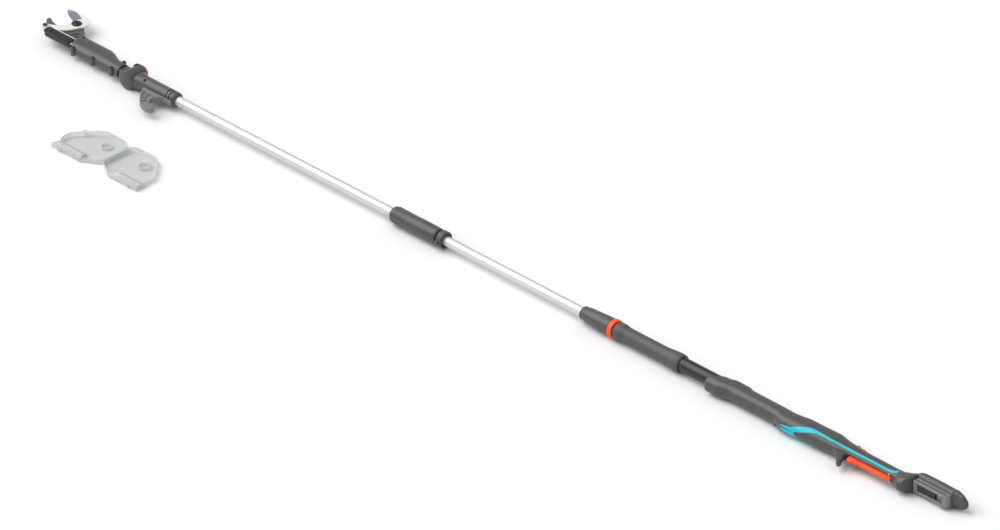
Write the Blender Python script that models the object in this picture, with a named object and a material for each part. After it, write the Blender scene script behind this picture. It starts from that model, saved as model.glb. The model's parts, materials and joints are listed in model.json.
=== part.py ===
"""Telescopic pole pruner, lying on its side.

X runs along the pole from the blades to the battery foot, Y is up in the plane of the blades,
Z is up from the ground.  Lengths are in millimetres and are turned into metres in place().
The pole axis is the line y = 0 at AXIS_HEIGHT above the ground.
"""
import math

import bmesh
import bpy
from mathutils import Vector

AXIS_HEIGHT = 20.0
GAP = 0.3
HALF_SPLIT = 0.15

# Joint positions along the pole
PIVOT = (-2297.7, 58.9)
DRIVE_PIN = (-2336.0, 10.8)
TILT_X = -2082.4
TRIGGER_PIVOT = (-37.0, -14.6)

# Heights of the flat layers in the head, from the pole axis
BLADE_LAYER = (0.3, 3.3)
COUNTER_LAYER = (-3.9, -0.3)
LINK_LAYER = (3.8, 5.8)
CHANNEL_WALL = (7.2, 9.0)

# Pole
TUBE_R = 9.8
TUBE_WALL = 1.5
OUTER_TUBE_R = 14.4
OUTER_TUBE_WALL = 1.5
OUTER_TUBE = (-797.0, -307.8)
FLUTE_AT = 20.6
SOCKET_R = 15.4
DISC_R = 20.0
BRACKET_WALL_REACH = 75.0
HUB_R = 16.6
FOOT_HALF = 20.0

# Walls and fasteners
HEAD_WALL = 2.2
HANDLE_WALL = 2.6
PIVOT_BOLT_R = 4.1
PIVOT_HOLE_R = 4.4
DRIVE_PIN_R = 2.8
DRIVE_HOLE_R = 3.0
TRIGGER_PIN_R = 1.9
TRIGGER_HOLE_R = 2.1
SCREW_R = 1.6
SCREW_HOLE_R = 1.9
SCREW_SEAT_R = 3.4
AXLE_R = 4.1
AXLE_HOLE_R = 4.4

# Drive line inside the head
CHANNEL = (-2321.8, -2250.6)
CHANNEL_FLOOR_END = -2241.0
LINK_REAR_EYE = (-2243.0, 0.95)
EYE_R = 3.4
SPINDLE_AT = (0.0, -4.4)
SPINDLE_R = 3.0
MOTOR_AT = (1.4, 0.0)
MOTOR_R = 10.0
HEAD_BOSSES = [(-2232.5, -13.8), (-2179, -13.8), (-2126.3, -14), (-2124, 17.6)]
SOCKET_SCREW = (-2040.6, -8.0)
SOCKET_GROOVES = (-1979.0, -1971.0)
COUNTER_SLOTS = ([(-2283, 22.5), (-2277.8, 24.5), (-2268, 42.2), (-2273, 40.4)],
                 [(-2272, 22.5), (-2267, 24.5), (-2260.6, 35), (-2265.6, 33)])

# Handle fastenings: where each screw stands, how deep its head sits, and the ends of its boss
HANDLE_SCREWS = [(-490, -20), (-330, -18.9), (-215, -17), (0, -19)]
SCREW_SEATS = [-11.0, -10.0, -11.0, -15.0]
BOSS_ENDS = [(-12.0, 10.0), (-11.0, 10.0), (-12.0, 10.0), (-19.0, 19.0)]

STEEL = ((0.62, 0.62, 0.64), 1.0, 0.32)
WHITE_COAT = ((0.80, 0.80, 0.80), 0.0, 0.40)
BRIGHT = ((0.78, 0.78, 0.79), 1.0, 0.25)
DARK_STEEL = ((0.13, 0.13, 0.135), 0.6, 0.45)
GREY_PLASTIC = ((0.10, 0.10, 0.103), 0.0, 0.50)
LIGHT_GREY = ((0.20, 0.20, 0.205), 0.0, 0.50)
BLACK_PLASTIC = ((0.012, 0.012, 0.012), 0.0, 0.45)
BLACK_TUBE = ((0.018, 0.018, 0.019), 0.0, 0.38)
ORANGE = ((1.0, 0.07, 0.005), 0.0, 0.40)
CYAN = ((0.0, 0.54, 0.66), 0.0, 0.40)
CLEAR = ((0.66, 0.67, 0.67), 0.0, 0.25)
GREEN = ((0.01, 0.16, 0.05), 0.0, 0.50)

BLADE = [(-2349.3, 83.6), (-2352.2, 89.3), (-2335.1, 92.1), (-2318, 91.4), (-2302.8, 90.2),
         (-2291.4, 87.4), (-2282.8, 80.8), (-2279, 71.2), (-2279, 61.8), (-2283.8, 50.3), (-2289.5, 37),
         (-2297.1, 25.6), (-2308.5, 17.1), (-2318, 10.4), (-2330, 5.5), (-2337, 4.6), (-2342.2, 8.5),
         (-2341.8, 14.2), (-2337, 19), (-2323.7, 26.6), (-2314.2, 35.1), (-2309.4, 42.8),
         (-2308.5, 54.1), (-2311.3, 63.6), (-2321.8, 67.5), (-2333.2, 72.2)]
# The same outline at the flat face: the cutting edge falls back to the top of its bevel
BEVEL_TOP = {0: (-2348.4, 84.8), 23: (-2309.0, 66.0), 24: (-2303.0, 79.0), 25: (-2328.4, 88.5)}

COUNTER = [(-2357.9, 39.9), (-2353.2, 43.1), (-2346.5, 39.4), (-2340.8, 37), (-2329.4, 33.8),
           (-2319.9, 33.2), (-2314.2, 35.1), (-2312.6, 46.5), (-2313.4, 59.8), (-2308.4, 69.3),
           (-2301.9, 72.6), (-2294, 72.6), (-2287.8, 69.3), (-2281.9, 63.6), (-2246.8, 33.4),
           (-2236, 25), (-2236, -8.9), (-2314.2, -8.9), (-2315.2, 6.5), (-2325.6, 14.2), (-2337, 19),
           (-2346.5, 24.7), (-2354.1, 32.3)]

HOOK = [(-2033, -15.8), (-2033, -22.2), (-2029.2, -23.2), (-2022.5, -36), (-2014, -47.2),
        (-1998.8, -61.2), (-1981.7, -67.4), (-1968.4, -65.6), (-1963.3, -59.5), (-1966.5, -55.1),
        (-1976, -53.4), (-1985.5, -49.9), (-1991.2, -42), (-1992.1, -33.2), (-1988.3, -27.1),
        (-1983.6, -19.4), (-1958.9, -18.6), (-1958.9, -15.8)]

HEAD_TOP = [(-2249, 34.5), (-2171.7, 34.5), (-2160.3, 31), (-2150.8, 26.5), (-2141.3, 21.5),
            (-2133.7, 18.6), (-2111.5, 17.6)]
HEAD_BOTTOM = [(-2249, -2), (-2246, -10.5), (-2241, -13.6), (-2232.5, -14.2), (-2111.5, -14.2)]
HEAD_HALF = [(-2249, 11.5), (-2244, 13), (-2171, 13.5), (-2133, 13), (-2111.5, 12.5)]

HANDLE_TOP = [(-530, 16), (-478.8, 16), (-463.6, 21.6), (-431.3, 21.6), (-418, 16.6), (-302.1, 16.4),
              (-288.8, 18.2), (-269.8, 22.6), (-216.6, 22.6), (-207.1, 23.4), (-190, 23.4),
              (-174.8, 20.4), (-155.8, 17.4), (-121.6, 14.2), (-22.8, 13.7), (-10, 13.7)]
HANDLE_BOTTOM = [(-530, -22.8), (-514.9, -22.8), (-509.2, -27.2), (-484.5, -27.2), (-469.3, -24.2),
                 (-454.1, -20.6), (-340.1, -20.4), (-330.6, -22), (-321.1, -25.8), (-311.6, -27.6),
                 (-285, -27.6), (-174.8, -22.6), (-144.4, -17.4), (-30.4, -16.4), (-10, -16.4)]
HANDLE_HALF = [(-530, 18), (-470, 18), (-440, 17), (-335, 17), (-290, 17.5), (-200, 17.5), (-160, 14.5),
               (-120, 12.5), (-40, 12.5), (-10, 14)]
HANDLE_STATIONS = [-530, -509.2, -484.5, -469.3, -454.1, -431.3, -418, -340.1, -330.6, -321.1, -311.6,
                   -302.1, -288.8, -269.8, -216.6, -190, -174.8, -155.8, -121.6, -30.4, -10]
FOOT = [(-22.8, 13.6), (-17.1, 15.8), (-3.8, 21.8), (11.4, 28.6), (22.8, 31.6), (106.4, 31.6),
        (116, 29.2), (129.2, 24.9), (135.8, 22.4), (135.8, 15.8), (129.2, 13.6), (119.7, 12),
        (104, 9.8), (102.6, 6.5), (13.5, 6.5), (13.3, -3), (11.4, -7.6), (8.5, -19.6), (3.8, -25.6),
        (-5.7, -27.9), (-15.2, -24.1), (-22.8, -18.1)]
GUARD_SPUR = [(-176, -18.4), (-174.8, -22.1), (-167.2, -24.8), (-144.4, -46.7), (-140.6, -48.3),
              (-136.5, -46), (-137.5, -40.5), (-145, -27.6), (-146.5, -14.7)]
TRIGGER = [(-138.7, -12), (-138.5, -18.9), (-137.8, -23.3), (-134.9, -27.5), (-125.4, -27.5),
           (-119.7, -23.3), (-70.3, -22.5), (-41.8, -22.5), (-31.5, -19.8), (-29.6, -14.6),
           (-31.5, -10.8), (-100, -10.8)]
LOCK_OFF = [(-154.5, 6.7), (-153.5, 22.5), (-147, 22.5), (-142.5, 19.6), (-127.3, 18.8), (-121.5, 16),
            (-120.5, 6.7)]

GUARD_FRONT = [(-2030.7, -217.9), (-2028.8, -243.6), (-2024, -249.3), (-2025.9, -260.7),
               (-2030.7, -269.2), (-1950.9, -270.2), (-1947.1, -268.3), (-1920.5, -251.2),
               (-1912.9, -243.6), (-1912.9, -180.9), (-1924.3, -168.5), (-1933.8, -164.8),
               (-1977.5, -163.8), (-1987, -167.6), (-1994.6, -173.3), (-2004.1, -184.7)]
GUARD_REAR = [(-1909.1, -245.5), (-1903.4, -252.1), (-1876.8, -268.3), (-1871.1, -270.2),
              (-1795.1, -270.2), (-1795.1, -222.7), (-1797, -217), (-1831.2, -173.3), (-1842.6, -166.7),
              (-1850.2, -164.8), (-1895.8, -164.8), (-1905.3, -169.5), (-1909.1, -180.9)]
GUARD_DEPTH = 11.0
GUARD_WALL = 1.4
GUARD_BOSSES = ((-1950.0, -198.0), 12.0), ((-1846.4, -198.0), 13.4)
GUARD_BOSS_WALL = 2.4
LIVING_HINGE = (-1912.6, -1907.8)


def place(x, y, z):
    """Millimetres from the pole axis to metres above the ground."""
    return Vector((x * 0.001, y * 0.001, (z + AXIS_HEIGHT) * 0.001))


def value_at(points, x):
    """Height of a polyline at x."""
    if x <= points[0][0]:
        return points[0][1]
    for (x0, y0), (x1, y1) in zip(points, points[1:]):
        if x <= x1:
            return y0 + (y1 - y0) * (x - x0) / (x1 - x0)
    return points[-1][1]


def material(name, look):
    colour, metallic, roughness = look
    result = bpy.data.materials.new(name)
    result.use_nodes = True
    shader = result.node_tree.nodes["Principled BSDF"]
    shader.inputs["Base Color"].default_value = (*colour, 1.0)
    shader.inputs["Metallic"].default_value = metallic
    shader.inputs["Roughness"].default_value = roughness
    return result


def solid(name, vertices, faces, look, smooth_angle=35.0):
    """A closed mesh object with its own material, normals facing out."""
    mesh = bpy.data.meshes.new(name)
    mesh.from_pydata(vertices, [], faces)
    body = bmesh.new()
    body.from_mesh(mesh)
    bmesh.ops.recalc_face_normals(body, faces=body.faces)
    body.to_mesh(mesh)
    body.free()
    mesh.polygons.foreach_set("use_smooth", [True] * len(mesh.polygons))
    mesh.set_sharp_from_angle(angle=math.radians(smooth_angle))
    mesh.materials.append(material(name, look))
    result = bpy.data.objects.new(name, mesh)
    bpy.context.scene.collection.objects.link(result)
    return result


def loft(name, rings, look, closed=False):
    """Skin over rings of points with equal counts; closed joins the last ring to the first."""
    count = len(rings[0])
    vertices = [place(*point) for ring in rings for point in ring]
    faces = []
    bands = len(rings) if closed else len(rings) - 1
    for band in range(bands):
        near = band * count
        far = (band + 1) % len(rings) * count
        for i in range(count):
            j = (i + 1) % count
            faces.append((near + i, near + j, far + j, far + i))
    if not closed:
        faces.append(tuple(range(count)))
        faces.append(tuple(range(len(vertices) - count, len(vertices))))
    return solid(name, vertices, faces, look)


def signed_area(outline):
    return 0.5 * sum(x0 * y1 - x1 * y0 for (x0, y0), (x1, y1) in zip(outline, outline[1:] + outline[:1]))


def inset(outline, distance):
    """Move every side of an outline inwards by a distance."""
    side = 1.0 if signed_area(outline) > 0 else -1.0
    result = []
    for i, (x, y) in enumerate(outline):
        ax, ay = outline[i - 1]
        bx, by = outline[(i + 1) % len(outline)]
        d0 = Vector((x - ax, y - ay)).normalized()
        d1 = Vector((bx - x, by - y)).normalized()
        n0 = Vector((-d0.y, d0.x)) * side
        n1 = Vector((-d1.y, d1.x)) * side
        mitre = (n0 + n1).normalized()
        reach = distance / max(mitre.dot(n0), 0.45)
        result.append((x + mitre.x * reach, y + mitre.y * reach))
    return result


def prism(name, outline, low, high, look, chamfer=0.0, steepness=1.0):
    """A plate in the plane of the blades, with chamfered rims if asked."""
    rings = [(low, 0.0), (high, 0.0)]
    if chamfer:
        fall = chamfer * steepness
        rings = [(low, chamfer), (low + fall, 0.0), (high - fall, 0.0), (high, chamfer)]
    return loft(name, [[(x, y, z) for x, y in inset(outline, back)] for z, back in rings], look)


def box(name, x, y, z, look):
    """A block between pairs of limits on each axis."""
    outline = [(x[0], y[0]), (x[1], y[0]), (x[1], y[1]), (x[0], y[1])]
    return prism(name, outline, *z, look)


def turned(name, axis, centre, profile, sides, look, start=0.0, end=2 * math.pi):
    """Turn a profile of (distance along the axis, radius) about an axis.

    A profile that starts and ends at radius 0 is a solid, any other profile is a closed loop.
    """
    solid_end = profile[0][1] == 0.0

    def point(along, radius, angle):
        u = radius * math.cos(angle)
        v = radius * math.sin(angle)
        if axis == "X":
            return (along, centre[0] + u, centre[1] + v)
        if axis == "Y":
            return (centre[0] + u, along, centre[1] + v)
        return (centre[0] + u, centre[1] + v, along)

    full = abs(end - start - 2 * math.pi) < 1e-6
    if solid_end:
        vertices = [place(*point(profile[0][0], 0, 0)), place(*point(profile[-1][0], 0, 0))]
        faces = []
        inner = profile[1:-1]
        for along, radius in inner:
            vertices += [place(*point(along, radius, 2 * math.pi * i / sides)) for i in range(sides)]
        for i in range(sides):
            j = (i + 1) % sides
            last = 2 + (len(inner) - 1) * sides
            faces.append((0, 2 + j, 2 + i))
            faces.append((1, last + i, last + j))
            for band in range(len(inner) - 1):
                near = 2 + band * sides
                faces.append((near + i, near + j, near + sides + j, near + sides + i))
        return solid(name, vertices, faces, look)
    if full:
        rings = [[point(along, radius, 2 * math.pi * i / sides) for along, radius in profile]
                 for i in range(sides)]
        return loft(name, rings, look, closed=True)
    rings = [[point(along, radius, start + (end - start) * i / sides) for along, radius in profile]
             for i in range(sides + 1)]
    return loft(name, rings, look)


def rod(name, axis, centre, low, high, radius, sides, look):
    return turned(name, axis, centre, [(low, 0.0), (low, radius), (high, radius), (high, 0.0)], sides, look)


def tube(name, axis, centre, low, high, outer, inner, sides, look):
    return turned(name, axis, centre, [(low, inner), (low, outer), (high, outer), (high, inner)], sides, look)


def combine(target, other, operation):
    """Exact Boolean of two solids; the second one is used up."""
    modifier = target.modifiers.new("combine", "BOOLEAN")
    modifier.operation = operation
    modifier.solver = "EXACT"
    modifier.object = other
    bpy.context.view_layer.update()
    result = bpy.data.meshes.new_from_object(target.evaluated_get(bpy.context.evaluated_depsgraph_get()))
    target.modifiers.clear()
    target.data = result
    bpy.data.objects.remove(other)
    body = bmesh.new()
    body.from_mesh(result)
    bmesh.ops.remove_doubles(body, verts=body.verts, dist=1e-6)
    bmesh.ops.dissolve_limit(body, angle_limit=math.radians(0.2), verts=body.verts, edges=body.edges,
                             delimit={"NORMAL"})
    body.to_mesh(result)
    body.free()
    while len(result.materials) > 1:
        result.materials.pop()
    result.polygons.foreach_set("material_index", [0] * len(result.polygons))
    result.polygons.foreach_set("use_smooth", [True] * len(result.polygons))
    result.set_sharp_from_angle(angle=math.radians(35.0))
    return target


def cut(target, *others):
    for other in others:
        combine(target, other, "DIFFERENCE")
    return target


def fuse(target, *others):
    for other in others:
        combine(target, other, "UNION")
    return target


def section(x, top, bottom, half, count, square=2.7):
    """A rounded-rectangle ring across the pole."""
    middle = (top + bottom) / 2
    height = (top - bottom) / 2
    ring = []
    for i in range(count):
        angle = 2 * math.pi * (i + 0.5) / count
        c = math.cos(angle)
        s = math.sin(angle)
        y = middle + height * math.copysign(abs(c) ** (2 / square), c)
        z = half * math.copysign(abs(s) ** (2 / square), s)
        ring.append((x, y, z))
    return ring


def hull(name, stations, top, bottom, half, wall, count, look):
    """A housing skin, moved in by a wall thickness."""
    rings = [section(x, value_at(top, x) - wall, value_at(bottom, x) + wall, value_at(half, x) - wall, count)
             for x in stations]
    return loft(name, rings, look)


def screw(name, centre, low, head_low, high):
    """A round-headed screw along Z."""
    head = SCREW_R * 1.9
    profile = [(low, 0.0), (low, SCREW_R), (head_low, SCREW_R), (head_low, head), (high - 0.5, head),
               (high, SCREW_R * 1.5), (high, 0.0)]
    return turned(name, "Z", centre, profile, 10, DARK_STEEL)


def coil(name, axis, centre, low, high, radius, wire, turns, look):
    """A compression spring as one closed coil of wire."""
    steps = 8 * turns
    rings = []
    for step in range(steps + 1):
        angle = 2 * math.pi * step / 8
        along = low + wire + (high - low - 2 * wire) * step / steps
        ring = []
        for side in range(4):
            turn = 2 * math.pi * side / 4
            r = radius + wire * math.cos(turn)
            u = centre[0] + r * math.cos(angle)
            v = centre[1] + r * math.sin(angle)
            w = along + wire * math.sin(turn)
            ring.append({"X": (w, u, v), "Y": (u, w, v), "Z": (u, v, w)}[axis])
        rings.append(ring)
    return loft(name, rings, look)


def split_shell(outer, cavity_parts, left_name, right_name, look):
    """Hollow a housing and part it on the plane of the blades into two shells."""
    cut(outer, *cavity_parts)
    mesh = outer.data
    for name, low, high in ((left_name, HALF_SPLIT, 60.0), (right_name, -60.0, -HALF_SPLIT)):
        half = bpy.data.objects.new(name, mesh.copy())
        bpy.context.scene.collection.objects.link(half)
        half.data.name = name
        half.data.materials.clear()
        half.data.materials.append(material(name, look))
        keep = box("keep", (-2600, 300), (-100, 100), (low, high), look)
        combine(half, keep, "INTERSECT")
    bpy.data.objects.remove(outer)


def blades():
    lower = BLADE
    upper = [BEVEL_TOP.get(i, point) for i, point in enumerate(BLADE)]
    rings = [[(x, y, BLADE_LAYER[0]) for x, y in lower], [(x, y, BLADE_LAYER[1]) for x, y in upper]]
    blade = loft("cutting_blade", rings, WHITE_COAT)
    cut(blade, rod("hole", "Z", PIVOT, -2, 8, PIVOT_HOLE_R, 16, WHITE_COAT),
        rod("hole", "Z", DRIVE_PIN, -2, 8, DRIVE_HOLE_R, 12, WHITE_COAT))
    counter = prism("counter_blade", COUNTER, *COUNTER_LAYER, DARK_STEEL)
    cut(counter, rod("hole", "Z", PIVOT, -6, 2, PIVOT_HOLE_R, 16, DARK_STEEL),
        *[prism("slot", outline, -6, 2, DARK_STEEL) for outline in COUNTER_SLOTS])
    bolt_profile = [(-3.6, 0.0), (-3.6, PIVOT_BOLT_R), (3.6, PIVOT_BOLT_R), (3.6, 10.2), (4.8, 10.2),
                    (5.8, 8.6), (5.8, 6.2), (6.4, 4.6), (6.7, 0.0)]
    turned("pivot_bolt", "Z", PIVOT, bolt_profile, 20, DARK_STEEL)
    nut_profile = [(-7.6, 0.0), (-7.6, 7.4), (-4.2, 7.4), (-4.2, 0.0)]
    turned("pivot_nut", "Z", PIVOT, nut_profile, 6, STEEL)
    pin_profile = [(0.5, 0.0), (0.5, DRIVE_PIN_R), (6.1, DRIVE_PIN_R), (6.1, 4.6), (6.9, 4.6), (6.9, 0.0)]
    turned("drive_pin", "Z", DRIVE_PIN, pin_profile, 12, DARK_STEEL)


def drive_channel():
    """The black channel that the push link runs in: a wall in front of it and a floor below it."""
    front, back = CHANNEL
    wall = [(front, 5.8), (front + 5, 9.2), (back, 9.2), (back, -11.4), (front + 6, -11.4), (front, -6.5)]
    channel = prism("drive_channel", wall, *CHANNEL_WALL, BLACK_PLASTIC)
    fuse(channel, box("floor", (front + 7, CHANNEL_FLOOR_END), (-11.4, -9.3), (0.1, 7.6), BLACK_PLASTIC))
    box("guide_strip", (-2312.3, back), (9.5, 11.6), CHANNEL_WALL, BRIGHT)
    screw("channel_screw", (-2308.5, -1.0), 9.3, 9.35, 10.4)


def drive_line():
    """Push link, carriage, spindle, gearbox and motor inside the head."""
    rear_eye = LINK_REAR_EYE
    link = [(DRIVE_PIN[0] - 5, DRIVE_PIN[1] + 1), (DRIVE_PIN[0] - 3, DRIVE_PIN[1] - 4),
            (DRIVE_PIN[0] + 3, DRIVE_PIN[1] - 5), (rear_eye[0] - 2, rear_eye[1] - EYE_R),
            (rear_eye[0] + 2, rear_eye[1] - EYE_R), (rear_eye[0] + 4, rear_eye[1]),
            (rear_eye[0] + 2, rear_eye[1] + EYE_R), (rear_eye[0] - 2, rear_eye[1] + EYE_R),
            (DRIVE_PIN[0] + 3, DRIVE_PIN[1] + 4.5),
            (DRIVE_PIN[0] - 3, DRIVE_PIN[1] + 4.5)]
    cut(prism("draw_link", link, *LINK_LAYER, STEEL),
        rod("hole", "Z", DRIVE_PIN, 2, 9, DRIVE_HOLE_R, 12, STEEL))
    carriage = box("spindle_nut", (-2249.5, -2222.0), (-7.8, 9.4), (0.4, 7.4), BRIGHT)
    fuse(carriage, box("block", (-2228.0, -2215.0), (-5.8, 7), (-8.5, 1.0), BRIGHT))
    cut(carriage, box("pocket", (-2255, -2236.0), (-6.8, 8.2), (3.4, 6.2), BRIGHT),
        rod("bore", "X", SPINDLE_AT, -2240, -2210, SPINDLE_R + 0.3, 12, BRIGHT))
    rod("drive_spindle", "X", SPINDLE_AT, -2227.0, -2163.0, SPINDLE_R, 12, STEEL)
    gearbox = [(-2162.5, 0), (-2162.5, 7), (-2159, MOTOR_R), (-2147, MOTOR_R), (-2147, 0)]
    turned("gearbox", "X", MOTOR_AT, gearbox, 16, STEEL)
    motor = [(-2146.6, 0), (-2146.6, MOTOR_R), (-2121, MOTOR_R), (-2119, 5), (-2119, 0)]
    turned("motor", "X", MOTOR_AT, motor, 16, DARK_STEEL)


def head_shells():
    stations = [-2249, -2246, -2241, -2232.5, -2171.7, -2160.3, -2150.8, -2141.3, -2133.7, -2111.5]
    outer = hull("head", stations, HEAD_TOP, HEAD_BOTTOM, HEAD_HALF, 0.0, 20, GREY_PLASTIC)
    for boss in HEAD_BOSSES:
        fuse(outer, rod("boss", "Z", boss, -8.5, 8.5, 4.6, 10, GREY_PLASTIC))
    inner_stations = [-2244, -2241, -2232.5, -2171.7, -2160.3, -2150.8, -2141.3, -2133.7, -2116]
    cavity = hull("cavity", inner_stations, HEAD_TOP, HEAD_BOTTOM, HEAD_HALF, HEAD_WALL, 16,
                  GREY_PLASTIC)
    mouth = box("mouth", (-2260, -2240), (-11.8, 36), (-4.3, 9.4), GREY_PLASTIC)
    neck = box("neck", (-2120, -2100), (-10.3, 13.7), (-8.9, 8.9), GREY_PLASTIC)
    holes = [rod("hole", "Z", boss, -30, 30, SCREW_HOLE_R, 8, GREY_PLASTIC) for boss in HEAD_BOSSES]
    holes += [rod("seat", "Z", boss, 8.3, 30, SCREW_SEAT_R, 10, GREY_PLASTIC) for boss in HEAD_BOSSES]
    split_shell(outer, [cavity, mouth, neck] + holes, "head_shell_left", "head_shell_right", GREY_PLASTIC)
    for number, boss in enumerate(HEAD_BOSSES, 1):
        screw("head_screw_%d" % number, boss, -8.2, 8.6, 10.2)


def tilt_joint():
    """Fork on the pole, hub on the head, both on an upright axle, with the orange release on top."""
    centre = (TILT_X, 0.0)
    hub_profile = [(-15.7, AXLE_HOLE_R), (-15.7, HUB_R - 1.5), (-14.2, HUB_R), (17.7, HUB_R),
                   (19.2, HUB_R - 1.5), (19.2, AXLE_HOLE_R)]
    hub = turned("tilt_hub", "Y", centre, hub_profile, 24, GREY_PLASTIC)
    neck = box("neck", (-2117.5, -2092), (-10, 13.4), (-8.6, 8.6), GREY_PLASTIC)
    fuse(hub, neck)

    disc = DISC_R
    lower_profile = [(-20.8, 0.0), (-20.8, disc - 8), (-19.6, disc - 3.5), (-17.4, disc), (-16.0, disc),
                     (-16.0, 0.0)]
    lower = turned("tilt_bracket", "Y", centre, lower_profile, 28, GREY_PLASTIC)
    cut(lower, rod("axle_seat", "Y", centre, -18.6, -10, AXLE_HOLE_R, 14, GREY_PLASTIC))
    upper_profile = [(19.5, AXLE_HOLE_R), (19.5, disc), (21.5, disc - 0.6), (25.0, disc - 5.4), (25.0, 13.8),
                     (21.2, 13.8), (21.2, AXLE_HOLE_R)]
    upper = turned("upper", "Y", centre, upper_profile, 28, GREY_PLASTIC)
    reach = math.radians(BRACKET_WALL_REACH)
    back_profile = [(-17.0, HUB_R + 0.6), (-17.0, disc), (20.4, disc), (20.4, HUB_R + 0.6)]
    back = turned("back", "Y", centre, back_profile, 18, GREY_PLASTIC, -reach, reach)
    rings = [section(TILT_X + 18.6, 20.5, -17.5, 15, 20), section(TILT_X + 27, 17.4, -16.4, 15, 20),
             section(TILT_X + 38, SOCKET_R, -SOCKET_R, SOCKET_R, 20, 2.0),
             section(-1962, SOCKET_R, -SOCKET_R, SOCKET_R, 20, 2.0),
             section(-1957.5, SOCKET_R - 2.5, -SOCKET_R + 2.5, SOCKET_R - 2.5, 20, 2.0)]
    socket = loft("socket", rings, GREY_PLASTIC)
    fuse(lower, back, upper, socket)
    grooves = [tube("groove", "X", (0, 0), x, x + 3.0, 19, SOCKET_R - 0.9, 20, GREY_PLASTIC)
               for x in SOCKET_GROOVES]
    cut(lower, rod("bore", "X", (0, 0), -2049, -1950, TUBE_R + GAP, 20, GREY_PLASTIC),
        rod("hole", "Z", SOCKET_SCREW, 4, 20, SCREW_HOLE_R, 8, GREY_PLASTIC),
        rod("seat", "Z", SOCKET_SCREW, 11.6, 25, SCREW_SEAT_R, 10, GREY_PLASTIC), *grooves)
    rod("tilt_axle", "Y", centre, -18.3, 21.0, AXLE_R, 14, STEEL)
    cap = [(24.2, 0.0), (24.2, 13.4), (29.2, 13.4), (30.4, 12.0), (30.4, 0.0)]
    cut(turned("tilt_button", "Y", centre, cap, 24, ORANGE),
        rod("hollow", "Y", centre, 20, 26.4, 10.4, 24, ORANGE))
    coil("tilt_spring", "Y", centre, 21.5, 26.1, 7.5, 0.5, 3, STEEL)
    prism("branch_hook", HOOK, -5.5, 5.5, LIGHT_GREY, 1.2)
    screw("socket_screw", SOCKET_SCREW, 9.6, 11.9, 13.4)


def pole():
    bore = TUBE_R - TUBE_WALL
    tube("front_tube", "X", (0, 0), -2045.0, -1296.5, TUBE_R, bore, 20, BRIGHT)
    tube("middle_tube", "X", (0, 0), -1296.0, -678.0, TUBE_R, bore, 20, BRIGHT)
    sleeve = [(-1368.0, TUBE_R + GAP), (-1368.0, 13.2), (-1363.5, 16.4), (-1358, 17.2), (-1250, 17.2),
              (-1245, 16.2), (-1243.5, 14.6), (-1243.5, 12.8), (-1262.0, 12.8), (-1268.0, TUBE_R + GAP)]
    turned("coupling_sleeve", "X", (0, 0), sleeve, 24, GREY_PLASTIC)
    tube("coupling_plug", "X", (0, 0), -1259.0, -1227.0, 12.4, TUBE_R + GAP, 20, BLACK_PLASTIC)
    rim = [(-1239.6, 12.8), (-1239.6, 16.4), (-1238.4, 17.2), (-1227, 17.2), (-1225.5, 16.2),
           (-1225.5, 12.8)]
    ring = turned("coupling_ring", "X", (0, 0), rim, 24, GREY_PLASTIC)
    fuse(ring, box("lug", (-1236.5, -1229.5), (-21.6, -15), (-4.5, 4.5), GREY_PLASTIC))
    tube("guide_bush", "X", (0, 0), -700.0, -680.0, 12.6, TUBE_R + 0.5, 16, BLACK_PLASTIC)
    coil("coiled_lead", "X", (0, 0), -1010.0, -720.0, 5.6, 1.5, 14, BLACK_PLASTIC)


def clamp():
    """Twist clamp: a fluted sleeve with an orange ring over a split collet."""
    profile = [(-856.9, TUBE_R + 0.4), (-856.9, 12.9), (-854.5, 14.0), (-846.5, 14.0), (-845.0, 15.4),
               (-781.0, 18.2), (-779.4, 17.8), (-779.4, 14.9), (-800.0, 14.9), (-801.0, 13.9), (-840.0, 13.9),
               (-846.0, TUBE_R + 0.4)]
    sleeve = turned("clamp_sleeve", "X", (0, 0), profile, 24, GREY_PLASTIC)
    for i in range(8):
        angle = 2 * math.pi * (i + 0.5) / 8
        y = FLUTE_AT * math.cos(angle)
        z = FLUTE_AT * math.sin(angle)
        flute_profile = [(-838, 0), (-838, 4.0), (-790, 4.0), (-786, 0)]
        cut(sleeve, turned("flute", "X", (y, z), flute_profile, 10, GREY_PLASTIC))
    rim = [(-779.0, 14.9), (-779.0, 18.4), (-777.5, 19.2), (-769.1, 19.2), (-767.6, 18.3), (-767.6, 14.9)]
    turned("clamp_ring", "X", (0, 0), rim, 24, ORANGE)
    collet = [(-838.0, TUBE_R + GAP), (-838.0, 12.2), (-832.0, 13.5), (-798.0, 13.5), (-798.0, TUBE_R + GAP)]
    turned("clamp_collet", "X", (0, 0), collet, 20, BLACK_PLASTIC)
    inside = OUTER_TUBE_R + GAP
    grip = [(-765.7, inside), (-765.7, 17.0), (-764, 17.9), (-748, 17.9), (-745.5, 16.4), (-741, 16.0),
            (-640, 16.0), (-629, 16.8), (-616, 18.4), (-599, 18.6), (-593, 17.2), (-592.8, inside)]
    turned("grip_sleeve", "X", (0, 0), grip, 24, LIGHT_GREY)
    bore = OUTER_TUBE_R - OUTER_TUBE_WALL
    tube("outer_tube", "X", (0, 0), *OUTER_TUBE, OUTER_TUBE_R, bore, 20, BLACK_TUBE)


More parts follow.
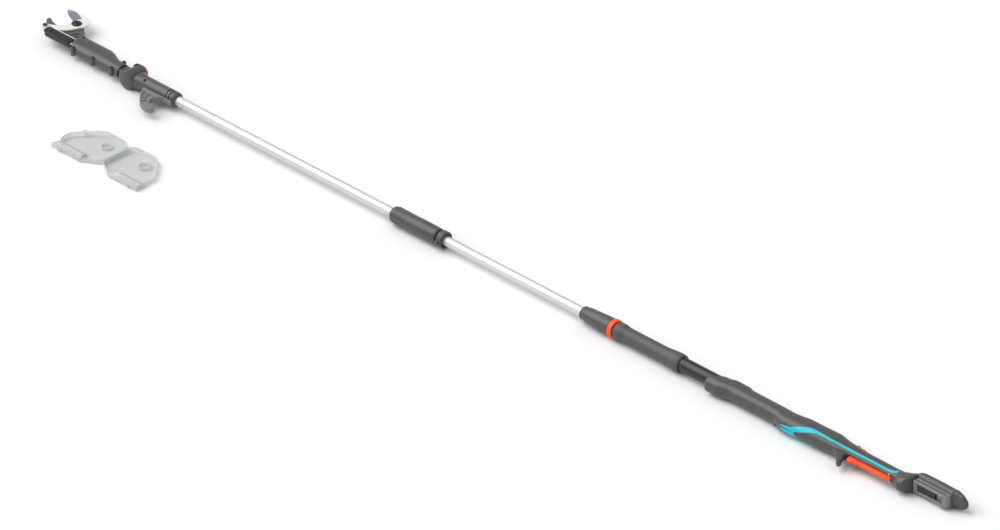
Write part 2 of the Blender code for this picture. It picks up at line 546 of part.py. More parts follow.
def inlay(name, side, room=0.0):
    """The cyan stripe let into one handle shell; room makes the recess for it."""
    diagonal = [(-308, -22.4), (-292.6, -12), (-277.4, 1.5), (-267.9, 6.2), (-243.2, 6.2), (-243.2, 1.4),
                (-254.6, -4.5), (-264.1, -15), (-272, -22.4)]
    thickness = 1.4 + room
    proud = 4.0 if room else 0.4
    rings = []
    for outward in (-thickness, proud):
        rings.append([(x, y, side * (value_at(HANDLE_HALF, x) + outward - max(0.0, -10 - y) * 0.42))
                      for x, y in inset(diagonal, -room)])
    plate = loft(name, rings, CYAN)
    rings = []
    run = [(-246, 6.2), (-200, 6.2), (-160, 6.2), (-120, 6.2), (-42, 6.2), (-32, 7.8), (-24.5 + room, 11.6)]
    for x, top in run:
        half = value_at(HANDLE_HALF, x)
        low = 1.4 - room
        high = top + room
        rings.append([(x, low, side * (half + proud)), (x, high, side * (half + proud)),
                      (x, high, side * (half - thickness)), (x, low, side * (half - thickness))])
    return fuse(plate, loft("run", rings, CYAN))


def handle():
    outer = hull("handle", HANDLE_STATIONS, HANDLE_TOP, HANDLE_BOTTOM, HANDLE_HALF, 0.0, 24, GREY_PLASTIC)
    foot = prism("foot", FOOT, -FOOT_HALF, FOOT_HALF, GREY_PLASTIC, 4.0, 2.5)
    spur = prism("spur", GUARD_SPUR, -6.5, 6.5, GREY_PLASTIC, 1.8)
    fuse(outer, foot, spur)
    mouth = [(-560, 60), (-443.7, 60), (-531.2, -46), (-560, -46)]
    wall = HANDLE_WALL
    body_stations = [-304, -288.8, -269.8, -216.6, -190, -174.8, -155.8, -121.6, -30.4, -15]
    cavity = hull("cavity", body_stations, HANDLE_TOP, HANDLE_BOTTOM, HANDLE_HALF, wall, 16, GREY_PLASTIC)
    foot_room = prism("room", inset(FOOT, wall), -FOOT_HALF + wall, FOOT_HALF - wall, GREY_PLASTIC, 2.0, 4.5)
    bore = rod("bore", "X", (0, 0), -560, -300, OUTER_TUBE_R + GAP, 20, GREY_PLASTIC)
    trigger_slot = box("slot", (-141.3, -28.4), (-40, -10.3), (-5.5, 5.5), GREY_PLASTIC)
    lock_slot = box("slot", (-162.5, -119.5), (10.5, 40), (-5.5, 5.5), GREY_PLASTIC)
    pin_hole = rod("hole", "Z", TRIGGER_PIVOT, -9.5, 9.5, TRIGGER_HOLE_R, 12, GREY_PLASTIC)
    recesses = [inlay("recess", side, 0.3) for side in (1.0, -1.0)]
    cut(outer, prism("mouth", mouth, -40, 40, GREY_PLASTIC), cavity, foot_room, bore, trigger_slot, lock_slot,
        pin_hole, *recesses)
    for centre, low, ends in zip(HANDLE_SCREWS, SCREW_SEATS, BOSS_ENDS):
        fuse(outer, rod("boss", "Z", centre, *ends, 4.2, 10, GREY_PLASTIC))
        cut(outer, rod("hole", "Z", centre, -40, 7.6, SCREW_HOLE_R, 8, GREY_PLASTIC),
            rod("seat", "Z", centre, -40, low, SCREW_SEAT_R, 10, GREY_PLASTIC))
    fuse(outer, box("rib", (-167.2, -165.0), (4.5, 14.5), (-12.6, 12.6), GREY_PLASTIC))
    split_shell(outer, [], "handle_shell_left", "handle_shell_right", GREY_PLASTIC)
    for number, (centre, low) in enumerate(zip(HANDLE_SCREWS, SCREW_SEATS), 1):
        profile = [(low - 1.8, 0.0), (low - 1.8, 3.0), (low - 0.3, 3.0), (low - 0.3, SCREW_R), (7.2, SCREW_R),
                   (7.2, 0.0)]
        turned("handle_screw_%d" % number, "Z", centre, profile, 10, DARK_STEEL)


def handle_inside():
    cut(prism("trigger", TRIGGER, -5.0, 5.0, ORANGE, 1.0),
        rod("hole", "Z", TRIGGER_PIVOT, -9, 9, TRIGGER_HOLE_R, 12, ORANGE))
    rod("trigger_pin", "Z", TRIGGER_PIVOT, -9.2, 9.2, TRIGGER_PIN_R, 12, STEEL)
    coil("trigger_spring", "Y", (-100.0, 0.0), -10.5, -4.0, 3.2, 0.5, 3, STEEL)
    box("switch", (-114, -78), (-2.2, 6.0), (-6.5, 6.5), BLACK_PLASTIC)
    prism("lock_off_button", LOCK_OFF, -5.0, 5.0, ORANGE, 1.0)
    coil("lock_off_spring", "X", (9.5, 0.0), -164.6, -154.9, 2.0, 0.4, 3, STEEL)
    box("control_board", (-280, -190), (-8.0, -6.4), (-12, 12), GREEN)
    rail = [(14.4, 6.1), (14.4, -2.8), (78.0, -2.8), (87, -4.8), (97, -2.6), (100.8, 3.0), (101.6, 6.1)]
    battery_rail = prism("battery_rail", rail, -15, 15, LIGHT_GREY)
    grooves = [box("groove", (13, 96), (0.4, 3.6), z, LIGHT_GREY) for z in ((-18, -11.5), (11.5, 18))]
    slot = box("slot", (24, 90), (-12, 2.6), (-7.5, 7.5), LIGHT_GREY)
    cut(battery_rail, slot, *grooves)
    box("terminal_block", (26, 70), (-1.9, 2.3), (-5.8, 5.8), BLACK_PLASTIC)


def guard_half(name, outline, boss, boss_r):
    """One clear tray of the blade guard, with a round boss on its floor."""
    floor = -AXIS_HEIGHT
    rim = floor + GUARD_DEPTH
    tray = prism(name, outline, floor, rim, CLEAR, 1.0)
    ring = [(floor + 0.8, boss_r - GUARD_BOSS_WALL), (floor + 0.8, boss_r), (floor + 6, boss_r),
            (floor + 6, boss_r - GUARD_BOSS_WALL)]
    cut(tray, prism("room", inset(outline, GUARD_WALL), floor + GUARD_WALL, rim + 5, CLEAR))
    return fuse(tray, turned("boss", "Z", boss, ring, 16, CLEAR))


def guard():
    """The blade guard: two clear trays lying open, joined by a living hinge at their rims."""
    guard_half("guard_shell_front", GUARD_FRONT, *GUARD_BOSSES[0])
    rear = guard_half("guard_shell_rear", GUARD_REAR, *GUARD_BOSSES[1])
    rim = GUARD_DEPTH - AXIS_HEIGHT
    fuse(rear, box("hinge", LIVING_HINGE, (-243, -183), (rim - 1.8, rim - 1.1), CLEAR))


for existing in list(bpy.data.objects):
    bpy.data.objects.remove(existing)
blades()
drive_channel()
drive_line()
head_shells()
tilt_joint()
pole()
clamp()
handle()
handle_inside()
inlay("handle_inlay_left", 1.0)
inlay("handle_inlay_right", -1.0)
guard()
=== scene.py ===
"""Looks of the telescopic pole pruner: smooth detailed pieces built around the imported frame.

X runs along the pole from the blades to the battery foot, Y is up in the plane of the blades, Z is up
from the ground.  Lengths are millimetres from the pole axis and are turned into metres in place().
"""
import json
import math

import bmesh
import bpy
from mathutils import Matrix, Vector


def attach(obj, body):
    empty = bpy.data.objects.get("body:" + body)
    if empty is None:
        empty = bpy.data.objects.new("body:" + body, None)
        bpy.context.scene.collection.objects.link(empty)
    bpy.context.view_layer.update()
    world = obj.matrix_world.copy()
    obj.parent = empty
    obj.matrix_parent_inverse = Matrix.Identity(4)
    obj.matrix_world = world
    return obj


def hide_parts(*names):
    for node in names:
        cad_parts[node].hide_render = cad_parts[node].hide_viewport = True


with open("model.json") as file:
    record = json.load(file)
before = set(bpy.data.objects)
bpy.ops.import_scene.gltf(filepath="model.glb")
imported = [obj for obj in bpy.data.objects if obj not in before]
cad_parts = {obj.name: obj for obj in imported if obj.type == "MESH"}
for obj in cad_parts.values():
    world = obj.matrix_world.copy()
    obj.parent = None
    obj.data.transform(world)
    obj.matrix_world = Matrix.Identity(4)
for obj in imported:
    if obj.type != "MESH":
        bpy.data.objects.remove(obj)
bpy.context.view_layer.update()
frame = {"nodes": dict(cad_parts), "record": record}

AXIS_HEIGHT = 20.0
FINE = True
ROUND = 72 if FINE else 48
SMOOTH_ANGLE = 32.0

PIVOT = (-2297.7, 58.9)
DRIVE_PIN = (-2336.0, 10.8)
TILT_X = -2082.4

BLADE_LAYER = (0.3, 3.3)
COUNTER_LAYER = (-2.7, -0.3)
CHANNEL_WALL = (7.2, 9.0)
TUBE_R = 9.8
OUTER_TUBE_R = 14.4
SOCKET_R = 15.4
DISC_R = 20.0
HUB_R = 16.6

BLADE = [(-2349.3, 83.6), (-2352.2, 89.3), (-2335.1, 92.1), (-2318, 91.4), (-2302.8, 90.2), (-2291.4, 87.4),
         (-2282.8, 80.8), (-2279, 71.2), (-2279, 61.8), (-2283.8, 50.3), (-2289.5, 37), (-2297.1, 25.6),
         (-2308.5, 17.1), (-2318, 10.4), (-2330, 5.5), (-2337, 4.6), (-2342.2, 8.5), (-2341.8, 14.2),
         (-2337, 19), (-2323.7, 26.6), (-2314.2, 35.1), (-2309.4, 42.8), (-2308.5, 54.1), (-2311.3, 63.6),
         (-2321.8, 67.5), (-2333.2, 72.2)]
BEVEL_TOP = {0: (-2348.4, 84.8), 23: (-2309.0, 66.0), 24: (-2303.0, 79.0), 25: (-2328.4, 88.5)}
COUNTER = [(-2357.9, 39.9), (-2353.2, 43.1), (-2346.5, 39.4), (-2340.8, 37), (-2329.4, 33.8), (-2319.9, 33.2),
           (-2314.2, 35.1), (-2312.6, 46.5), (-2313.4, 59.8), (-2308.4, 69.3), (-2301.9, 72.6),
           (-2294, 72.6), (-2287.8, 69.3), (-2281.9, 63.6), (-2246.8, 33.4), (-2236, 25), (-2236, -8.9),
           (-2314.2, -8.9), (-2315.2, 6.5), (-2325.6, 14.2), (-2337, 19), (-2346.5, 24.7), (-2354.1, 32.3)]
HOOK = [(-2033, -15.8), (-2033, -22.2), (-2029.2, -23.2), (-2022.5, -36), (-2014, -47.2),
        (-1998.8, -61.2), (-1981.7, -67.4), (-1968.4, -65.6), (-1963.3, -59.5), (-1966.5, -55.1),
        (-1976, -53.4), (-1985.5, -49.9), (-1991.2, -42), (-1992.1, -33.2), (-1988.3, -27.1),
        (-1983.6, -19.4), (-1958.9, -18.6), (-1958.9, -15.8)]
HEAD_TOP = [(-2249, 34.5), (-2171.7, 34.5), (-2160.3, 31), (-2150.8, 26.5), (-2141.3, 21.5),
            (-2133.7, 18.6), (-2111.5, 17.6)]
HEAD_BOTTOM = [(-2249, -2), (-2246, -10.5), (-2241, -13.6), (-2232.5, -14.2), (-2111.5, -14.2)]
HEAD_HALF = [(-2249, 11.5), (-2244, 13), (-2171, 13.5), (-2133, 13), (-2111.5, 12.5)]
HEAD_BOSSES = [(-2232.5, -13.8), (-2179, -13.8), (-2126.3, -14), (-2124, 17.6)]
HANDLE_TOP = [(-530, 16), (-478.8, 16), (-463.6, 21.6), (-431.3, 21.6), (-418, 16.6), (-302.1, 16.4),
              (-288.8, 18.2), (-269.8, 22.6), (-216.6, 22.6), (-207.1, 23.4), (-190, 23.4),
              (-174.8, 20.4), (-155.8, 17.4), (-121.6, 14.2), (-22.8, 13.7), (-10, 13.7)]
HANDLE_BOTTOM = [(-530, -22.8), (-514.9, -22.8), (-509.2, -27.2), (-484.5, -27.2), (-469.3, -24.2),
                 (-454.1, -20.6), (-340.1, -20.4), (-330.6, -22), (-321.1, -25.8), (-311.6, -27.6),
                 (-285, -27.6), (-174.8, -22.6), (-144.4, -17.4), (-30.4, -16.4), (-10, -16.4)]
HANDLE_HALF = [(-530, 18), (-470, 18), (-440, 17), (-335, 17), (-290, 17.5), (-200, 17.5), (-160, 14.5),
               (-120, 12.5), (-40, 12.5), (-10, 14)]
FOOT_TOP = [(-23.5, 10), (-22, 13.8), (-17.1, 15.8), (-3.8, 21.8), (11.4, 28.6), (22.8, 31.6), (106.4, 31.6),
            (116, 29.2), (129.2, 24.9), (135.0, 22.6), (135.8, 20.5)]
FOOT_BOTTOM = [(-23.5, -8), (-22, -16), (-15.2, -24.1), (-5.7, -27.9), (3.8, -25.6), (8.5, -19.6),
               (11.4, -7.6),
               (13.3, -3), (14.0, 6.5), (102.6, 6.5), (104, 9.8), (119.7, 12), (129.2, 13.6), (135.0, 15.6),
               (135.8, 17.5)]
FOOT_SIDE = [(-23.5, 8), (-22, 12.6), (-12, 15.0), (5, 17.5), (22, 19.6), (60, 20), (104, 19), (122, 15.5),
             (133, 9),
             (135.8, 3)]
GUARD_SPUR = [(-176, -18.4), (-174.8, -22.1), (-167.2, -24.8), (-144.4, -46.7), (-140.6, -48.3),
              (-136.5, -46), (-137.5, -40.5), (-145, -27.6), (-146.5, -14.7)]
TRIGGER = [(-138.7, -12), (-138.5, -18.9), (-137.8, -23.3), (-134.9, -27.5), (-125.4, -27.5),
           (-119.7, -23.3), (-70.3, -22.5), (-41.8, -22.5), (-31.5, -19.8), (-29.6, -14.6),
           (-31.5, -10.8), (-100, -10.8)]
LOCK_OFF = [(-154.5, 6.7), (-153.5, 22.5), (-147, 22.5), (-142.5, 19.6), (-127.3, 18.8), (-121.5, 16),
            (-120.5, 6.7)]
HANDLE_SCREWS = [(-490, -20), (-330, -18.9), (-215, -17), (0, -19)]
SCREW_SEATS = [-11.0, -10.0, -11.0, -10.0]
GUARD_FRONT = [(-2030.7, -217.9), (-2028.8, -243.6), (-2024, -249.3), (-2025.9, -260.7),
               (-2030.7, -269.2), (-1950.9, -270.2), (-1947.1, -268.3), (-1920.5, -251.2),
               (-1912.9, -243.6), (-1912.9, -180.9), (-1924.3, -168.5), (-1933.8, -164.8),
               (-1977.5, -163.8), (-1987, -167.6), (-1994.6, -173.3), (-2004.1, -184.7)]
GUARD_REAR = [(-1909.1, -245.5), (-1903.4, -252.1), (-1876.8, -268.3), (-1871.1, -270.2),
              (-1795.1, -270.2), (-1795.1, -222.7), (-1797, -217), (-1831.2, -173.3), (-1842.6, -166.7),
              (-1850.2, -164.8), (-1895.8, -164.8), (-1905.3, -169.5), (-1909.1, -180.9)]
GUARD_LOOPS = [(-2013.6, -193.0), (-2008.0, -271.0)]
GUARD_PINS = [(-1811.5, -196.5), (-1817.0, -271.0)]
GUARD_DEPTH = 11.0
GUARD_WALL = 1.4
COUNTER_SLOTS = ([(-2283, 22.5), (-2277.8, 24.5), (-2268, 42.2), (-2273, 40.4)],
                 [(-2272, 22.5), (-2267, 24.5), (-2260.6, 35), (-2265.6, 33)])
CHANNEL_FLOOR_END = -2241.0
CHANNEL_SCREW = (-2308.5, -1.0)
CORNER_SCREW = (-2240.5, 22.5)
SOCKET_SCREW = (-2040.6, -8.0)
BRACKET_WALL_REACH = 88.0
HEAD_SQUARE = 2.2
HANDLE_SQUARE = 2.4
INLAY = [((-312.0, -27.5), (-276.0, -27.5)), ((-283.0, -26.0), (-256.0, -25.3)),
         ((-261.0, -18.0), (-238.0, -20.0)),
         ((-246.0, -11.0), (-226.0, -16.3)), ((-230.0, -9.8), (-210.0, -15.4)),
         ((-194.0, -10.6), (-192.0, -15.0)),
         ((-136.0, -7.2), (-137.0, -11.4)), ((-87.0, -6.6), (-88.0, -10.8)), ((-42.0, -6.8), (-42.0, -11.0)),
         ((-32.0, -4.0), (-32.0, -10.6)), ((-24.0, 1.5), (-23.0, -7.0))]

# Studio, in metres and degrees. A lens over about 900 mm would stand so far off that the other views
# clip the object away.
VIEW_CENTRE = (-1.0908, 0.0099)
VIEW_AZIMUTH = 45.0
VIEW_ELEVATION = 31.475
VIEW_WIDTH = 1.9
LENS = 800.0
SENSOR_WIDTH = 36.0
CLIP_END = 400.0
FLOOR_REACH = 60.0
KEY_DIRECTION = (-0.6, -0.32, 0.75)
KEY_SPREAD = 60.0
KEY_STRENGTH = 2.3
SURROUND_STRENGTH = 0.6


# ---------------------------------------------------------------- shape helpers

def place(x, y, z):
    """Millimetres from the pole axis to metres above the ground."""
    return Vector((x * 0.001, y * 0.001, (z + AXIS_HEIGHT) * 0.001))


def value_at(points, x):
    """Smooth height of a chain of points at x, with no overshoot between them."""
    if x <= points[0][0]:
        return points[0][1]
    for (x0, y0), (x1, y1) in zip(points, points[1:]):
        if x <= x1:
            t = (x - x0) / (x1 - x0)
            return y0 + (y1 - y0) * (0.45 * t + 0.55 * t * t * (3 - 2 * t))
    return points[-1][1]


def refine(outline, steps=4, corner=55.0):
    """Round a closed outline with a spline that keeps its sharp corners."""
    if not FINE:
        steps = max(2, steps // 2)
    count = len(outline)
    points = [Vector(p) for p in outline]

    def sharp(i):
        a = (points[i] - points[i - 1]).normalized()
        b = (points[(i + 1) % count] - points[i]).normalized()
        return math.degrees(a.angle(b)) > corner

    result = []
    for i in range(count):
        p0, p1, p2, p3 = (points[(i + k) % count] for k in (-1, 0, 1, 2))
        length = (p2 - p1).length
        m1 = Vector((0, 0)) if sharp(i) else (p2 - p0).normalized() * length
        m2 = Vector((0, 0)) if sharp((i + 1) % count) else (p3 - p1).normalized() * length
        if sharp(i):
            m1 = p2 - p1
        if sharp((i + 1) % count):
            m2 = p2 - p1
        for step in range(steps):
            t = step / steps
            a = 2 * t ** 3 - 3 * t ** 2 + 1
            b = t ** 3 - 2 * t ** 2 + t
            c = -2 * t ** 3 + 3 * t ** 2
            d = t ** 3 - t ** 2
            result.append(tuple(p1 * a + m1 * b + p2 * c + m2 * d))
    return result


def solid(name, vertices, faces):
    """A new mesh object with its faces turned outwards."""
    mesh = bpy.data.meshes.new(name)
    mesh.from_pydata(vertices, [], faces)
    body = bmesh.new()
    body.from_mesh(mesh)
    bmesh.ops.recalc_face_normals(body, faces=body.faces)
    body.to_mesh(mesh)
    body.free()
    shade(mesh)
    result = bpy.data.objects.new(name, mesh)
    bpy.context.scene.collection.objects.link(result)
    return result


def shade(mesh):
    """Smooth shading that keeps the sharp edges."""
    mesh.polygons.foreach_set("use_smooth", [True] * len(mesh.polygons))
    mesh.set_sharp_from_angle(angle=math.radians(SMOOTH_ANGLE))


def loft(name, rings, closed=False):
    """Skin over rings of points with equal counts; closed joins the last ring to the first."""
    count = len(rings[0])
    vertices = [place(*point) for ring in rings for point in ring]
    faces = []
    bands = len(rings) if closed else len(rings) - 1
    for band in range(bands):
        near = band * count
        far = (band + 1) % len(rings) * count
        for i in range(count):
            j = (i + 1) % count
            faces.append((near + i, near + j, far + j, far + i))
    if not closed:
        faces.append(tuple(range(count)))
        faces.append(tuple(range(len(vertices) - count, len(vertices))))
    return solid(name, vertices, faces)


def signed_area(outline):
    """Area of an outline, negative where it runs clockwise."""
    return 0.5 * sum(x0 * y1 - x1 * y0 for (x0, y0), (x1, y1) in zip(outline, outline[1:] + outline[:1]))


def inset(outline, distance):
    """Move every side of an outline inwards by a distance."""
    side = 1.0 if signed_area(outline) > 0 else -1.0
    result = []
    for i, (x, y) in enumerate(outline):
        ax, ay = outline[i - 1]
        bx, by = outline[(i + 1) % len(outline)]
        d0 = Vector((x - ax, y - ay)).normalized()
        d1 = Vector((bx - x, by - y)).normalized()
        n0 = Vector((-d0.y, d0.x)) * side
        n1 = Vector((-d1.y, d1.x)) * side
        mitre = (n0 + n1).normalized()
        reach = distance / max(mitre.dot(n0), 0.45)
        result.append((x + mitre.x * reach, y + mitre.y * reach))
    return result


def slab(name, outline, low, high, edge=0.4, steps=3, smooth=0, corner=55.0):
    """A plate in the plane of the blades with rounded rims and, if asked, a smoothed outline."""
    rings = []
    for step in range(steps + 1):
        angle = math.pi / 2 * step / steps
        rings.append((low + edge * (1 - math.cos(angle)), edge * (1 - math.sin(angle))))
    rings += [(high - (z - low), back) for z, back in reversed(rings)]
    return loft(name,
                [[(x, y, z) for x, y in soft_inset(outline, back, smooth, corner)] for z, back in rings])


def soft_inset(outline, back, smooth, corner):
    """An outline moved inwards and then, if asked, smoothed."""
    moved = inset(outline, back)
    return refine(moved, smooth, corner) if smooth else moved


def box(name, x, y, z, edge=0.0):
    """A block between pairs of x, y and z, with rounded rims if asked."""
    outline = [(x[0], y[0]), (x[1], y[0]), (x[1], y[1]), (x[0], y[1])]
    if edge:
        return slab(name, outline, z[0], z[1], edge)
    return loft(name, [[(px, py, pz) for px, py in outline] for pz in z])


def turned(name, axis, centre, profile, sides=0, start=0.0, end=2 * math.pi):
    """Turn a profile of (distance along the axis, radius); ends at radius 0 close it."""
    sides = sides or ROUND

    def point(along, radius, angle):
        u = radius * math.cos(angle)
        v = radius * math.sin(angle)
        if axis == "X":
            return (along, centre[0] + u, centre[1] + v)
        if axis == "Y":
            return (centre[0] + u, along, centre[1] + v)
        return (centre[0] + u, centre[1] + v, along)

    if profile[0][1] == 0.0:
        vertices = [place(*point(profile[0][0], 0, 0)), place(*point(profile[-1][0], 0, 0))]
        faces = []
        inner = profile[1:-1]
        for along, radius in inner:
            vertices += [place(*point(along, radius, 2 * math.pi * i / sides)) for i in range(sides)]
        for i in range(sides):
            j = (i + 1) % sides
            last = 2 + (len(inner) - 1) * sides
            faces.append((0, 2 + j, 2 + i))
            faces.append((1, last + i, last + j))
            for band in range(len(inner) - 1):
                near = 2 + band * sides
                faces.append((near + i, near + j, near + sides + j, near + sides + i))
        return solid(name, vertices, faces)
    if abs(end - start - 2 * math.pi) < 1e-6:
        rings = [[point(along, radius, 2 * math.pi * i / sides) for along, radius in profile]
                 for i in range(sides)]
        return loft(name, rings, closed=True)
    rings = [[point(along, radius, start + (end - start) * i / sides) for along, radius in profile]
             for i in range(sides + 1)]
    return loft(name, rings)


def rod(name, axis, centre, low, high, radius, sides=24):
    """A plain round bar along one axis."""
    return turned(name, axis, centre, [(low, 0.0), (low, radius), (high, radius), (high, 0.0)], sides)


def rounded(profile, radius=0.7, steps=3):
    """Round the corners of a turned profile, but not its points on the axis."""
    result = []
    count = len(profile)
    for i, here in enumerate(profile):
        if here[1] == 0.0:
            result.append(here)
            continue
        p = Vector(here)
        a = Vector(profile[i - 1]) - p
        b = Vector(profile[(i + 1) % count]) - p
        if a.length < 1e-6 or b.length < 1e-6 or math.degrees(a.angle(b)) > 165:
            result.append(here)
            continue
        reach = min(radius, a.length * 0.45, b.length * 0.45)
        start = p + a.normalized() * reach
        end = p + b.normalized() * reach
        for step in range(steps + 1):
            t = step / steps
            result.append(tuple(start * (1 - t) ** 2 + p * 2 * t * (1 - t) + end * t ** 2))
    return result


def combine(target, other, operation):
    """Join or cut with one other piece, which is then removed."""
    modifier = target.modifiers.new("combine", "BOOLEAN")
    modifier.operation = operation
    modifier.solver = "EXACT"
    modifier.object = other
    bpy.context.view_layer.update()
    result = bpy.data.meshes.new_from_object(target.evaluated_get(bpy.context.evaluated_depsgraph_get()))
    target.modifiers.clear()
    target.data = result
    bpy.data.objects.remove(other)
    result.materials.clear()
    shade(result)
    return target


def cut(target, *others):
    """Take the other pieces away from the first."""
    for other in others:
        combine(target, other, "DIFFERENCE")
    return target


def fuse(target, *others):
    """Join the other pieces to the first."""
    for other in others:
        combine(target, other, "UNION")
    return target


def section(x, top, bottom, half, count, square=2.7):
    """A rounded-rectangle ring across the pole."""
    middle = (top + bottom) / 2
    height = (top - bottom) / 2
    ring = []
    for i in range(count):
        angle = 2 * math.pi * (i + 0.5) / count
        c = math.cos(angle)
        s = math.sin(angle)
        y = middle + height * math.copysign(abs(c) ** (2 / square), c)
        z = half * math.copysign(abs(s) ** (2 / square), s)
        ring.append((x, y, z))
    return ring


def stations(first, last, spacing):
    """Evenly spaced places from first to last."""
    count = max(2, round((last - first) / spacing))
    return [first + (last - first) * i / count for i in range(count + 1)]


def hull(name, xs, top, bottom, half, wall, count, square=2.7):
    """A body lofted through rounded sections along the pole, moved inwards by wall."""
    return loft(name, [section(x, value_at(top, x) - wall, value_at(bottom, x) + wall,
                               value_at(half, x) - wall, count, square) for x in xs])


def halves(outer, left_name, right_name):
    """Part a housing on the plane of the blades, with the seam's small gap."""
    pair = []
    for name, low, high in ((left_name, 0.15, 60.0), (right_name, -60.0, -0.15)):
        half = bpy.data.objects.new(name, outer.data.copy())
        bpy.context.scene.collection.objects.link(half)
        half.data.name = name
        combine(half, box("keep", (-2600, 300), (-100, 100), (low, high)), "INTERSECT")
        pair.append(half)
    bpy.data.objects.remove(outer)
    return pair


# ---------------------------------------------------------------- materials

def node(tree, kind, **inputs):
    """A shader node with its inputs set by name."""
    made = tree.nodes.new(kind)
    for key, value in inputs.items():
        made.inputs[key.replace("_", " ")].default_value = value
    return made


def procedural(name, colour, rough=0.5, metallic=0.0, grain=700.0, bump=0.12, stretch=(1, 1, 1), mottle=0.06,
               edge=0.0004, wear=0.0, wear_colour=(0.5, 0.5, 0.5), coat=0.0, rough_spread=0.08):
    """Plastic, rubber or metal with grain, faint mottling, uneven gloss, soft edges and rubbed rims."""
    material = bpy.data.materials.new(name)
    material.use_nodes = True
    tree = material.node_tree
    link = tree.links.new
    shader = tree.nodes["Principled BSDF"]
    shader.inputs["Metallic"].default_value = metallic
    shader.inputs["Coat Weight"].default_value = coat
    shader.inputs["Coat Roughness"].default_value = 0.25
    where = tree.nodes.new("ShaderNodeTexCoord")
    mapping = tree.nodes.new("ShaderNodeMapping")
    mapping.inputs["Scale"].default_value = stretch
    link(where.outputs["Object"], mapping.inputs["Vector"])
    fine = node(tree, "ShaderNodeTexNoise", Scale=grain, Detail=3.0, Roughness=0.6)
    link(mapping.outputs["Vector"], fine.inputs["Vector"])
    broad = node(tree, "ShaderNodeTexNoise", Scale=26.0, Detail=4.0, Roughness=0.55)
    link(where.outputs["Object"], broad.inputs["Vector"])
    soft = node(tree, "ShaderNodeBevel", Radius=edge)
    soft.samples = 4
    relief = node(tree, "ShaderNodeBump", Strength=bump, Distance=0.0002)
    link(fine.outputs["Fac"], relief.inputs["Height"])
    link(soft.outputs["Normal"], relief.inputs["Normal"])
    link(relief.outputs["Normal"], shader.inputs["Normal"])
    tint = tree.nodes.new("ShaderNodeMix")
    tint.data_type = "RGBA"
    tint.inputs["A"].default_value = (*(c * (1 - mottle) for c in colour), 1)
    tint.inputs["B"].default_value = (*(min(1.0, c * (1 + mottle)) for c in colour), 1)
    link(broad.outputs["Fac"], tint.inputs["Factor"])
    result = tint.outputs["Result"]
    if wear:
        geometry = tree.nodes.new("ShaderNodeNewGeometry")
        ramp = node(tree, "ShaderNodeMapRange")
        ramp.inputs["From Min"].default_value = 0.52
        ramp.inputs["From Max"].default_value = 0.62
        ramp.inputs["To Max"].default_value = wear
        link(geometry.outputs["Pointiness"], ramp.inputs["Value"])
        rub = tree.nodes.new("ShaderNodeMix")
        rub.data_type = "RGBA"
        rub.inputs["B"].default_value = (*wear_colour, 1)
        link(ramp.outputs["Result"], rub.inputs["Factor"])
        link(result, rub.inputs["A"])
        result = rub.outputs["Result"]
    link(result, shader.inputs["Base Color"])
    gloss = node(tree, "ShaderNodeMapRange")
    gloss.inputs["To Min"].default_value = rough - rough_spread
    gloss.inputs["To Max"].default_value = rough + rough_spread
    link(broad.outputs["Fac"], gloss.inputs["Value"])
    link(gloss.outputs["Result"], shader.inputs["Roughness"])
    return material


def clear_plastic(name):
    """Grey translucent moulding: mostly see-through, whiter and glossier at its rims."""
    material = procedural(name, (0.7, 0.715, 0.72), rough=0.3, grain=300.0, bump=0.05, mottle=0.05,
                          edge=0.0005)
    tree = material.node_tree
    link = tree.links.new
    shader = tree.nodes["Principled BSDF"]
    glance = node(tree, "ShaderNodeLayerWeight", Blend=0.4)
    amount = node(tree, "ShaderNodeMapRange")
    amount.inputs["To Min"].default_value = 0.3
    amount.inputs["To Max"].default_value = 0.8
    link(glance.outputs["Facing"], amount.inputs["Value"])
    link(amount.outputs["Result"], shader.inputs["Alpha"])
    return material


